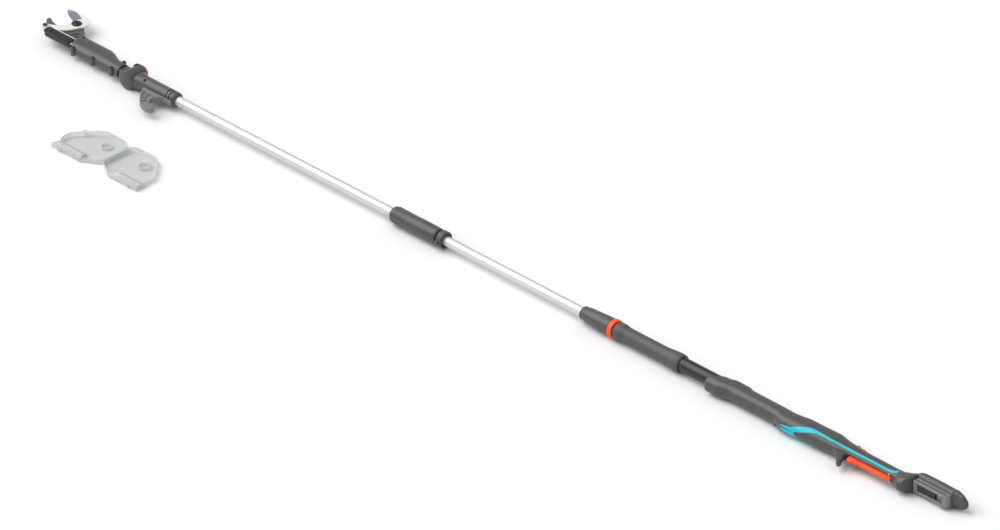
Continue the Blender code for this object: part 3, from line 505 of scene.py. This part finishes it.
DARK = (0.062, 0.062, 0.064)
MATERIALS = {
    "dark_plastic": procedural("dark_plastic", DARK, 0.36, wear=0.25, wear_colour=(0.16, 0.16, 0.16)),
    "head_plastic": procedural("head_plastic", (0.066, 0.066, 0.068), 0.34, wear=0.25,
                               wear_colour=(0.17, 0.17, 0.17)),
    "light_plastic": procedural("light_plastic", (0.19, 0.19, 0.193), 0.42, wear=0.3,
                                wear_colour=(0.4, 0.4, 0.4)),
    "grip_rubber": procedural("grip_rubber", (0.068, 0.068, 0.07), 0.5, grain=420.0, bump=0.3,
                              rough_spread=0.05),
    "orange_plastic": procedural("orange_plastic", (0.95, 0.085, 0.001), 0.46, mottle=0.04),
    "cyan_plastic": procedural("cyan_plastic", (0.0, 0.5, 0.62), 0.42, mottle=0.03, edge=0.0002),
    "black_plastic": procedural("black_plastic", (0.006, 0.006, 0.0065), 0.36, mottle=0.1),
    "black_tube": procedural("black_tube", (0.010, 0.010, 0.011), 0.36, grain=260.0, bump=0.25,
                             stretch=(1, 1, 1),
                             mottle=0.12),
    "pole_aluminium": procedural("pole_aluminium", (0.66, 0.67, 0.68), 0.42, 0.6, grain=60.0, bump=0.05,
                                 stretch=(0.15, 14, 14), mottle=0.02, rough_spread=0.05),
    "blade_coating": procedural("blade_coating", (0.78, 0.78, 0.78), 0.34, grain=500.0, bump=0.06,
                                mottle=0.03,
                                wear=0.25, wear_colour=(0.5, 0.5, 0.52)),
    "ground_edge": procedural("ground_edge", (0.24, 0.235, 0.31), 0.36, 0.35, grain=90.0, bump=0.12,
                              stretch=(12, 0.8, 1), mottle=0.12),
    "counter_steel": procedural("counter_steel", (0.11, 0.11, 0.112), 0.42, 0.3, grain=350.0, bump=0.12,
                                mottle=0.1, wear=0.35, wear_colour=(0.35, 0.35, 0.35)),
    "dark_steel": procedural("dark_steel", (0.03, 0.03, 0.032), 0.34, 0.5, mottle=0.12, wear=0.35,
                             wear_colour=(0.3, 0.3, 0.3)),
    "steel": procedural("steel", (0.6, 0.6, 0.62), 0.32, 0.95, grain=200.0, bump=0.08, stretch=(0.5, 5, 5)),
    "circuit_board": procedural("circuit_board", (0.01, 0.16, 0.05), 0.45, coat=0.4),
    "clear_guard": clear_plastic("clear_guard"),
}


def piece(made, body, replaced=(), slot=None, look=None):
    """Hang a finished object on its body and hide the frame nodes it stands for."""
    look = look or slot
    if not made.data.materials:
        made.data.materials.append(MATERIALS[look])
    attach(made, body)
    if replaced:
        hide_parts(*replaced)
    return made


# ---------------------------------------------------------------- blades

def cutting_blade():
    """White coated bypass blade with a ground bevel, its pivot and drive holes."""
    full = refine(BLADE, 4, 50)
    upper = refine([BEVEL_TOP.get(i, point) for i, point in enumerate(BLADE)], 4, 50)
    low, high = BLADE_LAYER
    rings = []
    for z, blend in ((low, 0.0), (low + 0.25, 0.0), (high, 1.0)):
        rings.append([(a[0] + (b[0] - a[0]) * blend, a[1] + (b[1] - a[1]) * blend, z) for a,
                      b in zip(full, upper)])
    blade = loft("v_cutting_blade", rings)
    cut(blade, rod("hole", "Z", PIVOT, -2, 8, 4.4, 32), rod("hole", "Z", DRIVE_PIN, -2, 8, 3.0, 24))
    blade.data.materials.append(MATERIALS["blade_coating"])
    blade.data.materials.append(MATERIALS["ground_edge"])
    for face in blade.data.polygons:
        sloped = 0.03 < face.normal.z < 0.9995
        face.material_index = int(sloped and face.center.y > 0.062 and face.center.x < -2.3)
    piece(blade, "blade", ["cutting_blade"], "blade_coating")
    profile = [(0.5, 0.0), (0.5, 2.8), (6.1, 2.8), (6.1, 4.6), (6.8, 4.6), (6.9, 2.4), (6.6, 2.1), (6.6, 0.0)]
    piece(turned("v_drive_pin", "Z", DRIVE_PIN, rounded(profile, 0.3), 40), "blade", ["drive_pin"],
          "dark_steel")


def counter_blade():
    """Fixed dark blade with its hook, pivot hole and slots."""
    blade = slab("v_counter_blade", COUNTER, *COUNTER_LAYER, edge=0.5, smooth=4, corner=60)
    cut(blade, rod("hole", "Z", PIVOT, -6, 2, 4.4, 32),
        *[slab("slot", slot, -6, 2) for slot in COUNTER_SLOTS])
    piece(blade, "head", ["counter_blade"], "dark_steel", "counter_steel")


def pivot_bolt():
    """Wide dark flanged bolt with a domed centre and a hexagon socket."""
    profile = [(-3.6, 0.0), (-3.6, 4.1), (3.6, 4.1), (3.6, 10.2), (4.7, 10.2), (5.7, 9.2), (5.7, 7.4),
               (4.9, 6.8),
               (5.0, 6.4), (6.2, 5.2), (6.8, 3.4), (6.9, 0.0)]
    bolt = turned("v_pivot_bolt", "Z", PIVOT, rounded(profile, 0.4), 64)
    cut(bolt, turned("socket", "Z", PIVOT, [(5.4, 0.0), (5.4, 2.2), (10, 2.2), (10, 0.0)], 6))
    piece(bolt, "head", ["pivot_bolt"], "dark_steel")
    nut = [(-7.6, 0.0), (-7.6, 6.6), (-7.0, 7.4), (-4.8, 7.4), (-4.2, 6.8), (-4.2, 0.0)]
    piece(turned("v_pivot_nut", "Z", PIVOT, nut, 6), "head", ["pivot_nut"], "steel")


def drive_channel():
    """Ribbed black channel with a rounded nose and a bright guide strip along its upper edge."""
    front = -2321.8
    back = -2250.6
    low, high = CHANNEL_WALL
    wall = [(front, 3.5), (front + 1.5, 6.6), (front + 5, 9.2), (back, 9.2), (back, -11.4),
            (front + 8, -11.4),
            (front + 3, -9.8), (front + 0.6, -6.0)]
    channel = slab("v_drive_channel", wall, low, high, 0.5)
    fuse(channel, box("floor", (front + 8, CHANNEL_FLOOR_END), (-11.4, -9.3), (0.1, low + 0.4), 0.4))
    for y, width in ((7.6, 0.8), (4.2, 0.6), (1.2, 0.5), (-3.4, 0.5), (-6.6, 0.6), (-9.9, 0.9)):
        start = front + (4.5 if abs(y) > 4 else 18)
        fuse(channel, box("rib", (start, back - 0.2), (y - width, y + width), (high - 0.6, high + 0.5), 0.3))
    boss = rounded([(high - 0.5, 0.0), (high - 0.5, 3.9), (high + 0.5, 3.9), (high + 0.5, 0.0)], 0.3)
    fuse(channel, turned("boss", "Z", CHANNEL_SCREW, boss, 32))
    piece(channel, "head", ["drive_channel"], "black_plastic")
    strip = box("v_guide_strip", (front + 9.5, back), (9.5, 11.6), CHANNEL_WALL, 0.4)
    piece(strip, "head", ["guide_strip"], "steel", "blade_coating")
    small_screw("channel_screw", CHANNEL_SCREW, 9.2, 9.7, 10.4, "head")


def small_screw(name, centre, low, head_low, high, body):
    """Round-headed screw with a six-lobed socket."""
    radius = 1.6
    wide = radius * 1.9
    profile = [(low, 0.0), (low, radius), (head_low, radius), (head_low, wide), (high - 0.4, wide),
               (high, wide * 0.7), (high, 0.0)]
    made = turned("v_" + name, "Z", centre, rounded(profile, 0.25), 32)
    lobes = []
    for i in range(12):
        reach = wide * (0.5 if i % 2 else 0.34)
        angle = math.pi * i / 6
        lobes.append((centre[0] + reach * math.cos(angle), centre[1] + reach * math.sin(angle)))
    cut(made, slab("socket", lobes, high - 0.8, high + 2, 0.05))
    piece(made, body, [name], "dark_steel")


# ---------------------------------------------------------------- head

def head_shells():
    """Two shells that swell round the drive, with screw bosses along the bottom edge."""
    xs = [-2249, -2248.4, -2247, -2244.5, -2241, -2237] + stations(-2232.5, -2111.5, 3.0 if FINE else 6.0)
    outer = hull("head", xs, HEAD_TOP, HEAD_BOTTOM, HEAD_HALF, 0.0, ROUND, HEAD_SQUARE)
    for boss in HEAD_BOSSES:
        profile = rounded([(-8.5, 0.0), (-8.5, 4.6), (8.5, 4.6), (8.5, 0.0)], 0.8)
        fuse(outer, turned("boss", "Z", boss, profile, 28))
    cavity = hull("cavity", [-2244, -2241, -2232.5, -2171.7, -2160.3, -2150.8, -2141.3, -2133.7, -2116],
                  HEAD_TOP, HEAD_BOTTOM, HEAD_HALF, 2.2, 26, HEAD_SQUARE)
    cut(outer, cavity, box("mouth", (-2260, -2240), (-11.8, 36), (-4.3, 9.4)),
        box("neck", (-2120, -2100), (-10.3, 13.7), (-8.9, 8.9)))
    for boss in HEAD_BOSSES:
        cut(outer, rod("hole", "Z", boss, -30, 30, 1.9, 16), rod("seat", "Z", boss, 8.3, 30, 3.4, 24))
    left, right = halves(outer, "v_head_shell_left", "v_head_shell_right")
    piece(left, "head", ["head_shell_left"], "dark_plastic", "head_plastic")
    piece(right, "head", ["head_shell_right"], "dark_plastic", "head_plastic")
    for number, boss in enumerate(HEAD_BOSSES, 1):
        small_screw("head_screw_%d" % number, boss, -8.2, 8.6, 10.2, "head")
    profile = rounded([(9.4, 0.0), (9.4, 3.4), (12.2, 3.4), (12.8, 2.0), (12.8, 0.0)], 0.3)
    piece(turned("v_corner_screw", "Z", CORNER_SCREW, profile, 32), "head", [], "dark_steel", "black_plastic")


def tilt_joint():
    """Barrel joint: hub on the head between the two cheeks of the pole socket, orange release on top."""
    centre = (TILT_X, 0.0)
    profile = [(-15.7, 4.4), (-15.7, HUB_R - 1.5), (-14.2, HUB_R), (-0.6, HUB_R), (-0.3, HUB_R - 0.5),
               (0.3, HUB_R - 0.5), (0.6, HUB_R), (17.7, HUB_R), (19.2, HUB_R - 1.5), (19.2, 4.4)]
    hub = turned("v_tilt_hub", "Y", centre, rounded(profile, 0.5))
    fuse(hub, box("neck", (-2117.5, -2092), (-10, 13.4), (-8.6, 8.6), 2.0))
    piece(hub, "head", ["tilt_hub"], "dark_plastic", "head_plastic")

    disc = DISC_R
    lower = turned("v_tilt_bracket", "Y", centre,
                   rounded([(-20.8, 0.0), (-20.8, disc - 8), (-19.6, disc - 3.5), (-17.4, disc),
                            (-16.0, disc),
                            (-16.0, 0.0)], 2.0, 5))
    cut(lower, rod("axle_seat", "Y", centre, -18.6, -10, 4.4, 32))
    upper = turned("upper", "Y", centre,
                   rounded([(19.5, 4.4), (19.5, disc), (21.5, disc - 0.6), (25.0, disc - 5.4), (25.0, 13.8),
                            (21.2, 13.8), (21.2, 4.4)], 0.9, 4))
    reach = math.radians(BRACKET_WALL_REACH)
    back = turned("back", "Y", centre,
                  [(-17.0, HUB_R + 0.6), (-17.0, disc), (20.4, disc), (20.4, HUB_R + 0.6)],
                  60, -reach, reach)
    end = TILT_X + 127
    shape = [(18.6, 20.5, -17.5, 15.0, 2.6), (22.0, 19.2, -17.0, 15.0, 2.5), (26.0, 17.6, -16.4, 15.0, 2.4),
             (31.0, 16.4, -15.8, 15.2, 2.2), (37.0, SOCKET_R, -SOCKET_R, SOCKET_R, 2.0),
             (118.0, SOCKET_R, -SOCKET_R, SOCKET_R, 2.0)]
    for back_off, inward in ((4.0, 0.4), (1.4, 1.6), (0.0, 2.8)):
        radius = SOCKET_R - inward
        shape.append((127.0 - back_off, radius, -radius, radius, 2.0))
    socket = loft("socket", [section(TILT_X + x, top, low, half, ROUND, square)
                             for x, top, low, half, square in shape])
    fuse(lower, back, upper, socket)
    for x in (end - 23.6, end - 15.1):
        profile = [(x, SOCKET_R - 1.3), (x, 19), (x + 3.4, 19), (x + 3.4, SOCKET_R - 1.3)]
        cut(lower, turned("groove", "X", (0, 0), profile, 40, math.radians(50), math.radians(175)))
    cut(lower, rod("bore", "X", (0, 0), -2049, -1950, TUBE_R + 0.3, 48),
        rod("hole", "Z", SOCKET_SCREW, 4, 20, 1.9, 16), rod("seat", "Z", SOCKET_SCREW, 11.6, 25, 3.4, 28))
    piece(lower, "pole", ["tilt_bracket"], "dark_plastic", "head_plastic")
    small_screw("socket_screw", SOCKET_SCREW, 9.6, 11.9, 13.4, "pole")

    profile = [(24.2, 0.0), (24.2, 13.4), (29.2, 13.4), (30.4, 12.2), (30.4, 9.0), (29.9, 8.4), (29.9, 0.0)]
    button = turned("v_tilt_button", "Y", centre, rounded(profile, 0.5))
    cut(button, rod("hollow", "Y", centre, 20, 26.4, 10.4, 48))
    piece(button, "release", ["tilt_button"], "orange_plastic")


def branch_hook():
    """Flat hook under the socket: rounded rim, two raised ribs and cross webs."""
    hook = slab("v_branch_hook", HOOK, -5.5, 5.5, 0.9, 4, smooth=4, corner=60)
    cut(hook, slab("pocket", inset(HOOK[2:15], 2.2), 4.0, 8, 0.2, smooth=3, corner=60))
    runs = ([(-2025, -24), (-2017, -38), (-2009, -48), (-2000, -56)],
            [(-2008.5, -24), (-2005, -42), (-1998, -53)],
            [(-2022, -33), (-2006, -31)], [(-2014, -45), (-2002, -40)], [(-2004, -54), (-1994, -47)])
    for run in runs:
        for (x0, y0), (x1, y1) in zip(run, run[1:]):
            along = Vector((x1 - x0, y1 - y0)).normalized()
            side = Vector((-along.y, along.x)) * 0.8
            bar = [(x0 + side.x, y0 + side.y), (x1 + side.x, y1 + side.y), (x1 - side.x, y1 - side.y),
                   (x0 - side.x, y0 - side.y)]
            fuse(hook, slab("rib", bar, 3.7, 5.6, 0.2))
    piece(hook, "pole", ["branch_hook"], "light_plastic")


# ---------------------------------------------------------------- pole

def pole():
    """Two bright tubes with the coupling sleeve, its ring and its plug between them."""
    bore = TUBE_R - 1.5
    for name, low, high in (("front_tube", -2045.0, -1296.5), ("middle_tube", -1296.0, -678.0)):
        profile = rounded([(low, bore), (low, TUBE_R), (high, TUBE_R), (high, bore)], 0.3)
        piece(turned("v_" + name, "X", (0, 0), profile, 96), "pole", [name], "pole_aluminium")

    inside = TUBE_R + 0.3
    sleeve = turned("v_coupling_sleeve", "X", (0, 0), rounded(
        [(-1368.0, inside), (-1368.0, 12.6), (-1364.5, 15.8), (-1358, 17.2), (-1327, 17.2), (-1325, 16.8),
         (-1322, 17.2), (-1250, 17.2), (-1245, 16.2), (-1243.5, 14.6), (-1243.5, 12.8), (-1262.0, 12.8),
         (-1268.0, inside)], 1.2, 4), 96)
    ribs_between(sleeve, 14, 18.1, [(-1359, 0.0), (-1356, 1.8), (-1332, 1.8), (-1329, 0.0)])
    piece(sleeve, "pole", ["coupling_sleeve"], "dark_plastic")
    ring = turned("v_coupling_ring", "X", (0, 0), rounded(
        [(-1239.6, 12.8), (-1239.6, 16.2), (-1238.0, 17.3), (-1227, 17.3), (-1225.5, 16.2),
         (-1225.5, 12.8)], 0.7), 96)
    fuse(ring, box("lug", (-1236.5, -1229.5), (-21.6, -15), (-4.5, 4.5), 1.0))
    ribs_between(ring, 20, 18.2, [(-1236.5, 0.0), (-1236.5, 1.5), (-1228.5, 1.5), (-1228.5, 0.0)],
                 skip=math.pi)
    piece(ring, "coupler", ["coupling_ring"], "dark_plastic")
    plug = rounded([(-1259.0, inside), (-1259.0, 12.4), (-1227.0, 12.4), (-1227.0, inside)], 0.5)
    piece(turned("v_coupling_plug", "X", (0, 0), plug), "pole", ["coupling_plug"], "black_plastic")


def ribs_between(target, count, distance, profile, skip=None):
    """Cut a row of grooves along a round piece so that ribs are left between them."""
    for i in range(count):
        angle = 2 * math.pi * (i + 0.5) / count
        if skip is not None and abs(angle - skip) < 0.3:
            continue
        at = (distance * math.cos(angle), distance * math.sin(angle))
        cut(target, turned("groove", "X", at, profile, 12))


def clamp():
    """Twist clamp: fluted tapered sleeve with an orange ring, then the soft grip and the outer tube."""
    inside = TUBE_R + 0.4
    sleeve = turned("v_clamp_sleeve", "X", (0, 0), rounded(
        [(-856.9, inside), (-856.9, 12.7), (-854.5, 14.0), (-847.0, 14.0), (-845.8, 14.8), (-843.0, 15.6),
         (-781.0, 18.2), (-779.4, 17.8), (-779.4, 14.9), (-800.0, 14.9), (-801.0, 13.9), (-840.0, 13.9),
         (-846.0, inside)], 0.7), 96)
    ribs_between(sleeve, 8, 20.6, [(-838, 0.0), (-834, 3.9), (-792, 4.1), (-787, 0.0)])
    piece(sleeve, "clamp", ["clamp_sleeve"], "dark_plastic")
    ring = turned("v_clamp_ring", "X", (0, 0), rounded(
        [(-779.0, 14.9), (-779.0, 18.2), (-777.5, 19.2), (-769.1, 19.2), (-767.6, 18.2), (-767.6, 14.9)],
                                                       0.8), 96)
    ribs_between(ring, 24, 19.9, [(-775.6, 0.0), (-775.6, 1.2), (-771.0, 1.2), (-771.0, 0.0)])
    piece(ring, "clamp", ["clamp_ring"], "orange_plastic")

    inside = OUTER_TUBE_R + 0.3
    grip = turned("v_grip_sleeve", "X", (0, 0), rounded(
        [(-765.7, inside), (-765.7, 16.9), (-763.5, 17.9), (-750, 17.9), (-746.0, 17.0), (-743.0, 16.3),
         (-735, 16.0), (-690, 15.9), (-645, 16.0), (-632, 16.7), (-618, 18.0), (-608, 18.6), (-599, 18.6),
         (-594.2, 17.6), (-592.8, 16.2), (-592.8, inside)], 3.0, 4), 96)
    piece(grip, "handle", ["grip_sleeve"], "grip_rubber")

    low, high = -797, -307.8
    bore = OUTER_TUBE_R - 1.5
    tube = turned("v_outer_tube", "X", (0, 0), rounded(
        [(low, bore), (low, OUTER_TUBE_R), (high, OUTER_TUBE_R), (high, bore)], 0.3), 96)
    cut(tube, box("groove", (-592, -480), (-0.9, 0.9), (OUTER_TUBE_R - 0.5, 18)))
    piece(tube, "handle", ["outer_tube"], "black_tube")


# ---------------------------------------------------------------- handle

def on_skin(x, turn, side, proud):
    """A point on the handle's skin, or a little off it, at a turn from the top edge round to the bottom."""
    top = value_at(HANDLE_TOP, x) + proud
    bottom = value_at(HANDLE_BOTTOM, x) - proud
    c = math.cos(turn)
    y = (top + bottom) / 2 + (top - bottom) / 2 * math.copysign(abs(c) ** (2 / HANDLE_SQUARE), c)
    z = (value_at(HANDLE_HALF, x) + proud) * abs(math.sin(turn)) ** (2 / HANDLE_SQUARE)
    return (x, y, side * z)


def turn_at(x, y):
    """The turn round the handle's section at which its skin has the height y."""
    top = value_at(HANDLE_TOP, x)
    bottom = value_at(HANDLE_BOTTOM, x)
    share = max(-1.0, min(1.0, (y - (top + bottom) / 2) / ((top - bottom) / 2)))
    return math.acos(math.copysign(abs(share) ** (HANDLE_SQUARE / 2), share))


def inlay(name, side):
    """Cyan stripe over one shell: a wide diagonal that narrows along the grip and flares up at its end."""
    rings = []
    for (a0, a1), (b0, b1) in zip(INLAY, INLAY[1:]):
        steps = max(3, round(math.dist(a0, b0) / 3))
        for step in range(steps + (b0 == INLAY[-1][0])):
            upper = Vector(a0).lerp(Vector(b0), step / steps)
            lower = Vector(a1).lerp(Vector(b1), step / steps)
            lift = 0.0 if side > 0 else 8.0 * min(1.0, max(0.0, (upper.x + 312.0) / 70.0))
            start = turn_at(upper.x, upper.y + lift)
            end = turn_at(lower.x, lower.y + lift)
            across = [(upper.x + (lower.x - upper.x) * k / 10,
                       start + (end - start) * k / 10) for k in range(11)]
            over = [on_skin(x, turn, side, 0.45) for x, turn in across]
            under = [on_skin(x, turn, side, -0.6) for x, turn in reversed(across)]
            rings.append(over + under)
    piece(loft("v_" + name, rings), "handle", [name], "cyan_plastic")


def handle():
    """Pistol handle in two shells: tube socket, swell, grip, finger spur and battery foot."""
    xs = stations(-530, -10, 3.5 if FINE else 7.0)
    outer = hull("handle", xs, HANDLE_TOP, HANDLE_BOTTOM, HANDLE_HALF, 0.0, ROUND, HANDLE_SQUARE)
    along = stations(-23.5, 14, 1.6) + stations(16, 101, 4.0) + stations(102.6, 135.8, 1.6)
    foot = hull("foot", along, FOOT_TOP, FOOT_BOTTOM, FOOT_SIDE, 0.0, ROUND, 2.3)
    spur = slab("spur", GUARD_SPUR, -6.5, 6.5, 1.8, 5, smooth=3, corner=60)
    fuse(outer, foot, spur)
    mouth = [(-560, 60), (-443.7, 60), (-531.2, -46), (-560, -46)]
    wall = 2.4
    cavity = hull("cavity", [-304, -288.8, -269.8, -216.6, -190, -174.8, -155.8, -121.6, -30.4, -15],
                  HANDLE_TOP, HANDLE_BOTTOM, HANDLE_HALF, wall, 24, HANDLE_SQUARE)
    room = hull("room", stations(-14, 124, 4.0), FOOT_TOP, FOOT_BOTTOM, FOOT_SIDE, wall + 0.6, 24, 2.3)
    cut(outer, slab("mouth", mouth, -40, 40), cavity, room,
        rod("bore", "X", (0, 0), -560, -300, OUTER_TUBE_R + 0.3, 48),
        box("slot", (-141.3, -28.4), (-40, -10.3), (-5.5, 5.5)),
        box("slot", (-162.5, -119.5), (10.5, 40), (-5.5, 5.5)))
    for centre, low in zip(HANDLE_SCREWS, SCREW_SEATS):
        cut(outer, rod("seat", "Z", centre, -40, low, 3.4, 28))
    left, right = halves(outer, "v_handle_shell_left", "v_handle_shell_right")
    piece(left, "handle", ["handle_shell_left"], "dark_plastic")
    piece(right, "handle", ["handle_shell_right"], "dark_plastic")
    for number, (centre, low) in enumerate(zip(HANDLE_SCREWS, SCREW_SEATS), 1):
        profile = [(low - 1.8, 0.0), (low - 1.8, 3.0), (low - 0.3, 3.0), (low - 0.3, 1.6), (7.2, 1.6),
                   (7.2, 0.0)]
        made = turned("v_handle_screw_%d" % number, "Z", centre, rounded(profile, 0.3), 28)
        piece(made, "handle", ["handle_screw_%d" % number], "dark_steel")
    inlay("handle_inlay_left", 1.0)
    inlay("handle_inlay_right", -1.0)


def controls():
    """Orange trigger and the ribbed lock-off button above it."""
    trigger = slab("v_trigger", TRIGGER, -4.2, 4.2, 1.6, 4, smooth=4, corner=60)
    piece(trigger, "trigger", ["trigger"], "orange_plastic")
    lock = slab("v_lock_off_button", LOCK_OFF, -5.0, 5.0, 1.3, 4, smooth=4, corner=60)
    for x in (-141, -137.5, -134, -130.5):
        cut(lock, rod("groove", "Z", (x, 20.2), -9, 9, 0.9, 12))
    piece(lock, "lock_off", ["lock_off_button"], "orange_plastic")


def battery_end():
    """Slide-on rail under the foot, with side grooves, notched rims and a ramped latch."""
    rail = [(14.4, 11.0), (14.4, -2.8), (78.0, -2.8), (80, -4.0), (87, -5.4), (95, -4.0), (99.5, -1.2),
            (101.2, 3.0),
            (101.6, 11.0)]
    made = slab("v_battery_rail", rail, -13.0, 13.0, 0.9)
    for z in ((-18, -10.5), (10.5, 18)):
        cut(made, box("groove", (13, 96), (0.4, 3.6), z))
    cut(made, box("slot", (24, 90), (-12, 2.6), (-7.5, 7.5)))
    for i in range(16):
        x = 18 + 4.4 * i
        cut(made, box("notch", (x, x + 1.6), (-1.8, 0.1), (12.2, 18)))
    piece(made, "handle", ["battery_rail"], "light_plastic")


# ---------------------------------------------------------------- blade guard

def guard_half(name, outline, boss, boss_radius, channel):
    """A thin tray with a round boss on its floor and a half-round channel along its lower edge."""
    low = -AXIS_HEIGHT
    rim = low + GUARD_DEPTH
    tray = slab("v_" + name, outline, low, rim, 1.4, 4, smooth=3, corner=60)
    cut(tray, slab("room", inset(outline, GUARD_WALL), low + GUARD_WALL, rim + 5, 0.3, smooth=3, corner=60))
    for outside, wall, height in ((boss_radius, 2.4, 6.0), (boss_radius * 0.5, 1.4, 4.0)):
        profile = [(low + 0.8, outside - wall), (low + 0.8, outside), (low + height, outside),
                   (low + height, outside - wall)]
        fuse(tray, turned("boss", "Z", boss, rounded(profile, 0.5), 40))
    (x0, x1), y = channel
    fuse(tray, turned("channel", "X", (y, low + 1.2), [(x0, 7.2), (x0, 8.8), (x1, 8.8), (x1, 7.2)], 20,
                      math.radians(10), math.radians(170)))
    for edge in (y - 11.0, y + 11.0):
        fuse(tray, box("rib", (x0, x1), (edge - 0.9, edge + 0.9), (low + 0.8, low + 6.5), 0.5))
    return tray


def guard():
    """Clear guard lying open: snap loops on the front half, pins on the rear half, a thin hinge between."""
    low = -AXIS_HEIGHT
    rim = low + GUARD_DEPTH
    front = guard_half("guard_shell_front", GUARD_FRONT, (-1950.0, -198.0), 12.0,
                       ((-2022, -1954), -256.5))
    for loop in GUARD_LOOPS:
        profile = [(rim - 4.0, 3.2), (rim - 4.0, 6.6), (rim - 1.2, 6.6), (rim - 1.2, 3.2)]
        fuse(front, turned("loop", "Z", loop, rounded(profile, 0.5), 32))
    piece(front, "guard_front", ["guard_shell_front"], "clear_guard")
    rear = guard_half("guard_shell_rear", GUARD_REAR, (-1846.4, -198.0), 13.4,
                      ((-1866, -1798), -256.5))
    for pin in GUARD_PINS:
        fuse(rear, rod("pin", "Z", pin, low + 2.0, rim - 1.0, 2.2, 16))
    piece(rear, "guard_rear", ["guard_shell_rear"], "clear_guard")
    hinge = box("v_living_hinge", (-1912.6, -1907.8), (-243, -183), (rim - 1.8, rim - 1.1), 0.2)
    piece(hinge, "guard_rear", [], "clear_guard")


def dress_hidden_nodes():
    """Give every frame node that is still shown the procedural material of its slot."""
    for part in frame["record"]["subparts"]:
        shown = frame["nodes"][part["node"]]
        shown.data.materials.clear()
        shown.data.materials.append(MATERIALS.get(part["material_slot"], MATERIALS["dark_plastic"]))


def studio():
    """Pale paper floor, an even white surround, one broad key light and the camera."""
    floor_mesh = bpy.data.meshes.new("studio_floor")
    reach = FLOOR_REACH
    floor_mesh.from_pydata([(-reach, -reach, 0), (reach, -reach, 0), (reach, reach, 0), (-reach, reach, 0)],
                           [],
                           [(0, 1, 2, 3)])
    floor = bpy.data.objects.new("studio_floor", floor_mesh)
    bpy.context.scene.collection.objects.link(floor)
    paper = procedural("paper", (0.9, 0.9, 0.9), 0.9, grain=40.0, bump=0.02, mottle=0.01, edge=0.0)
    floor_mesh.materials.append(paper)

    world = bpy.data.worlds.new("studio")
    world.use_nodes = True
    world.node_tree.nodes["Background"].inputs["Color"].default_value = (1, 1, 1, 1)
    world.node_tree.nodes["Background"].inputs["Strength"].default_value = SURROUND_STRENGTH
    bpy.context.scene.world = world
    bpy.context.scene.view_settings.view_transform = "Standard"

    lamp = bpy.data.lights.new("key", "SUN")
    lamp.angle = math.radians(KEY_SPREAD)
    lamp.energy = KEY_STRENGTH
    key = bpy.data.objects.new("key", lamp)
    key.rotation_euler = Vector(KEY_DIRECTION).to_track_quat("Z", "Y").to_euler()
    bpy.context.scene.collection.objects.link(key)

    azimuth = math.radians(VIEW_AZIMUTH)
    elevation = math.radians(VIEW_ELEVATION)
    back = Vector((math.sin(azimuth) * math.cos(elevation), -math.cos(azimuth) * math.cos(elevation),
                   math.sin(elevation)))
    lens = bpy.data.cameras.new("camera")
    lens.lens = LENS
    lens.sensor_width = SENSOR_WIDTH
    lens.clip_end = CLIP_END
    distance = VIEW_WIDTH * LENS / SENSOR_WIDTH
    camera = bpy.data.objects.new("camera", lens)
    camera.location = Vector((*VIEW_CENTRE, AXIS_HEIGHT * 0.001)) + back * distance
    camera.rotation_euler = back.to_track_quat("Z", "Y").to_euler()
    bpy.context.scene.collection.objects.link(camera)
    bpy.context.scene.camera = camera


dress_hidden_nodes()
cutting_blade()
counter_blade()
pivot_bolt()
drive_channel()
head_shells()
tilt_joint()
branch_hook()
pole()
clamp()
handle()
controls()
battery_end()
guard()
studio()
